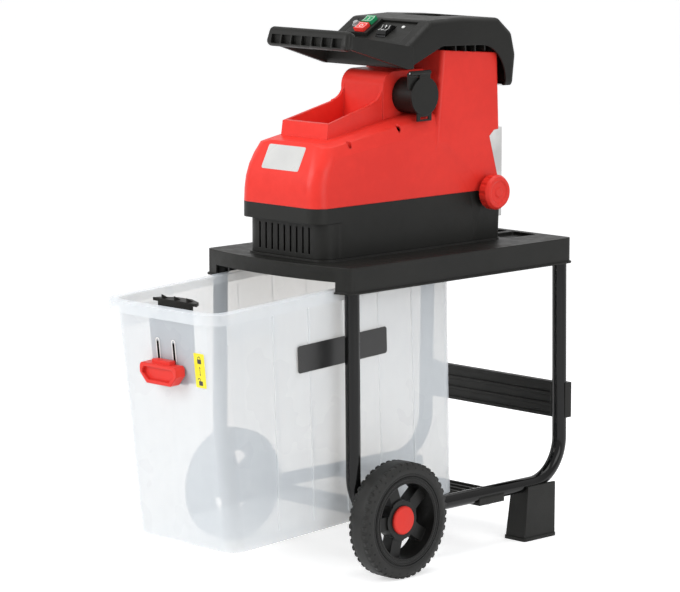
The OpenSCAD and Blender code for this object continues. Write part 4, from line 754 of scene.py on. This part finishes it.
def cap_sign(body, slot, y, draw):
    """A sign and the frame round it, drawn flat, then laid in a push cap's dish on the panel."""
    flat = Matrix.Identity(4)
    bm = bmesh.new()
    draw(bm, flat)
    band(bm, fine_frame(18.6, 14.2), fine_frame(17.2, 12.8), flat, *CAP_PRINT)
    for v in bm.verts:
        v.co.z += DISH_CENTRE - math.sqrt(DISH_RADIUS ** 2 - v.co.y ** 2)
    bm.transform(on_panel(CAP_X, y, 0))
    piece(body + "_sign", bm, body, slot, white_print)


def bar_sign(bm, place):
    for low in range(-4, 4):
        prism(bm, box(-0.8, 0.8, low, low + 1), place, *CAP_PRINT)


def round_sign(bm, place):
    band(bm, arc(0, 0, 4.2, 0, 345, 23), arc(0, 0, 2.9, 0, 345, 23), place, *CAP_PRINT)


def panel_details():
    bm = bmesh.new()
    place, teeth = on_panel(*RESET), 24
    lathe(bm, [(5.2, 0), (7.2, 0), (7.2, 1.6), (6.6, 2.2), (5.6, 2.2), (5.2, 1.8)], place, 48)
    for k in range(teeth):
        a = 2 * math.pi * k / teeth
        tooth = ((6.9, -0.06), (7.6, -0.04), (7.6, 0.04), (6.9, 0.06))
        prism(bm, [polar(r, a + aside) for r, aside in tooth], place, 0.1, 1.5)
    piece("reset_collar", bm, "stand", "grey_plastic")

    bm = bmesh.new()
    for half in (-1, 1):
        place = on_panel(*ROCKER) @ turned(16 * half, "X") @ Matrix.Translation((0, half * 7.5, 11))
        prism(bm, box(-0.6, 0.6, *((-3, 1) if half > 0 else (-1, 3))), place, *FILM)
        prism(bm, [(-2.4, half), (2.4, half), (0, half * 4)][::half], place, *FILM)
        for x in (-8.6, 7.9):
            prism(bm, box(x, x + 0.7, -4, 4), place, *FILM)
    piece("rocker_signs", bm, body_of["direction_rocker"], "grey_plastic", white_print)

    bm = bmesh.new()
    lathe(bm, [(0, 0), (3.2, 0), (3.2, 0.8), (2.6, 1.3), (2.2, 1.3), (1.9, 1.8), (1.0, 2.2), (0, 2.3)],
          on_panel(*LAMP), 32)
    piece("panel_lamp", bm, "stand", "grey_plastic", white_print)


cap_sign("start", "green_plastic", START_Y, bar_sign)
cap_sign("stop", "red_plastic", STOP_Y, round_sign)
panel_details()


# Housing: bare rating plate on the front slope

def rating_plate():
    left, right = -45, 42.8
    top, bottom = (-242, 708), (-261.5, 669)
    corners = [at(left, *top), at(right, *top), at(right, *bottom), at(left, *bottom)]
    bm = bmesh.new()
    label(bm, surface_of("upper_cover"), corners, Vector((0, 0.9, -0.43)).normalized(), (24, 12), 0.003, 0.00035)
    piece("rating_plate", bm, "stand", "alloy", silver_film, smooth=40)


rating_plate()


# Floor, backdrop and light

FLOOR_HALF, FLOOR_GLOW = 16, 0.55
AIM = (0, 0, 0.5)                      # what the lamps point at


def lay_floor():
    """Pale floor that keeps the shadows; its glow, seen only by the eye, brings it up to white."""
    bm = bmesh.new()
    bmesh.ops.create_grid(bm, x_segments=2, y_segments=2, size=FLOOR_HALF)
    mesh = bpy.data.meshes.new("floor")
    bm.to_mesh(mesh)
    bm.free()
    floor = bpy.data.objects.new("floor", mesh)
    scene.collection.objects.link(floor)
    f = Finish("floor")
    mesh.materials.append(f.surface(Base_Color=(0.85, 0.85, 0.85, 1), Roughness=0.8, Emission_Color=(1, 1, 1, 1),
                                    Emission_Strength=f.seen() * FLOOR_GLOW))


def hang_backdrop():
    """White to the camera and a little darker in reflections; what lights the part is a weaker, cool fill."""
    world = bpy.data.worlds.new("studio")
    world.use_nodes = True
    scene.world = world
    w = Shading(world.node_tree, "ShaderNodeOutputWorld")
    strength = w.rays("Camera") * 0.2 + 0.8
    white = w.add("ShaderNodeBackground", {}, {"Color": (1, 1, 1, 1), "Strength": strength})
    fill = w.add("ShaderNodeBackground", {}, {"Color": (0.97, 0.98, 1.0, 1), "Strength": 0.5})
    w.show(w.mixed(w.seen(), fill, white))


def softbox(name, place, width, height, power):
    data = bpy.data.lights.new(name, "AREA")
    data.shape, data.size, data.size_y, data.energy = "RECTANGLE", width, height, power
    lamp = bpy.data.objects.new(name, data)
    lamp.location = place
    lamp.rotation_mode = "QUATERNION"
    lamp.rotation_quaternion = (Vector(AIM) - Vector(place)).to_track_quat("-Z", "Y")
    scene.collection.objects.link(lamp)


lay_floor()
hang_backdrop()
softbox("front_key", (-1.2, -3.4, 2.3), 2.2, 2.0, 88)
softbox("side_fill", (3.4, -0.3, 1.5), 1.8, 2.0, 34)
softbox("top", (0.2, 0.2, 3.4), 2.4, 2.4, 45)
scene.view_settings.view_transform = "Standard"
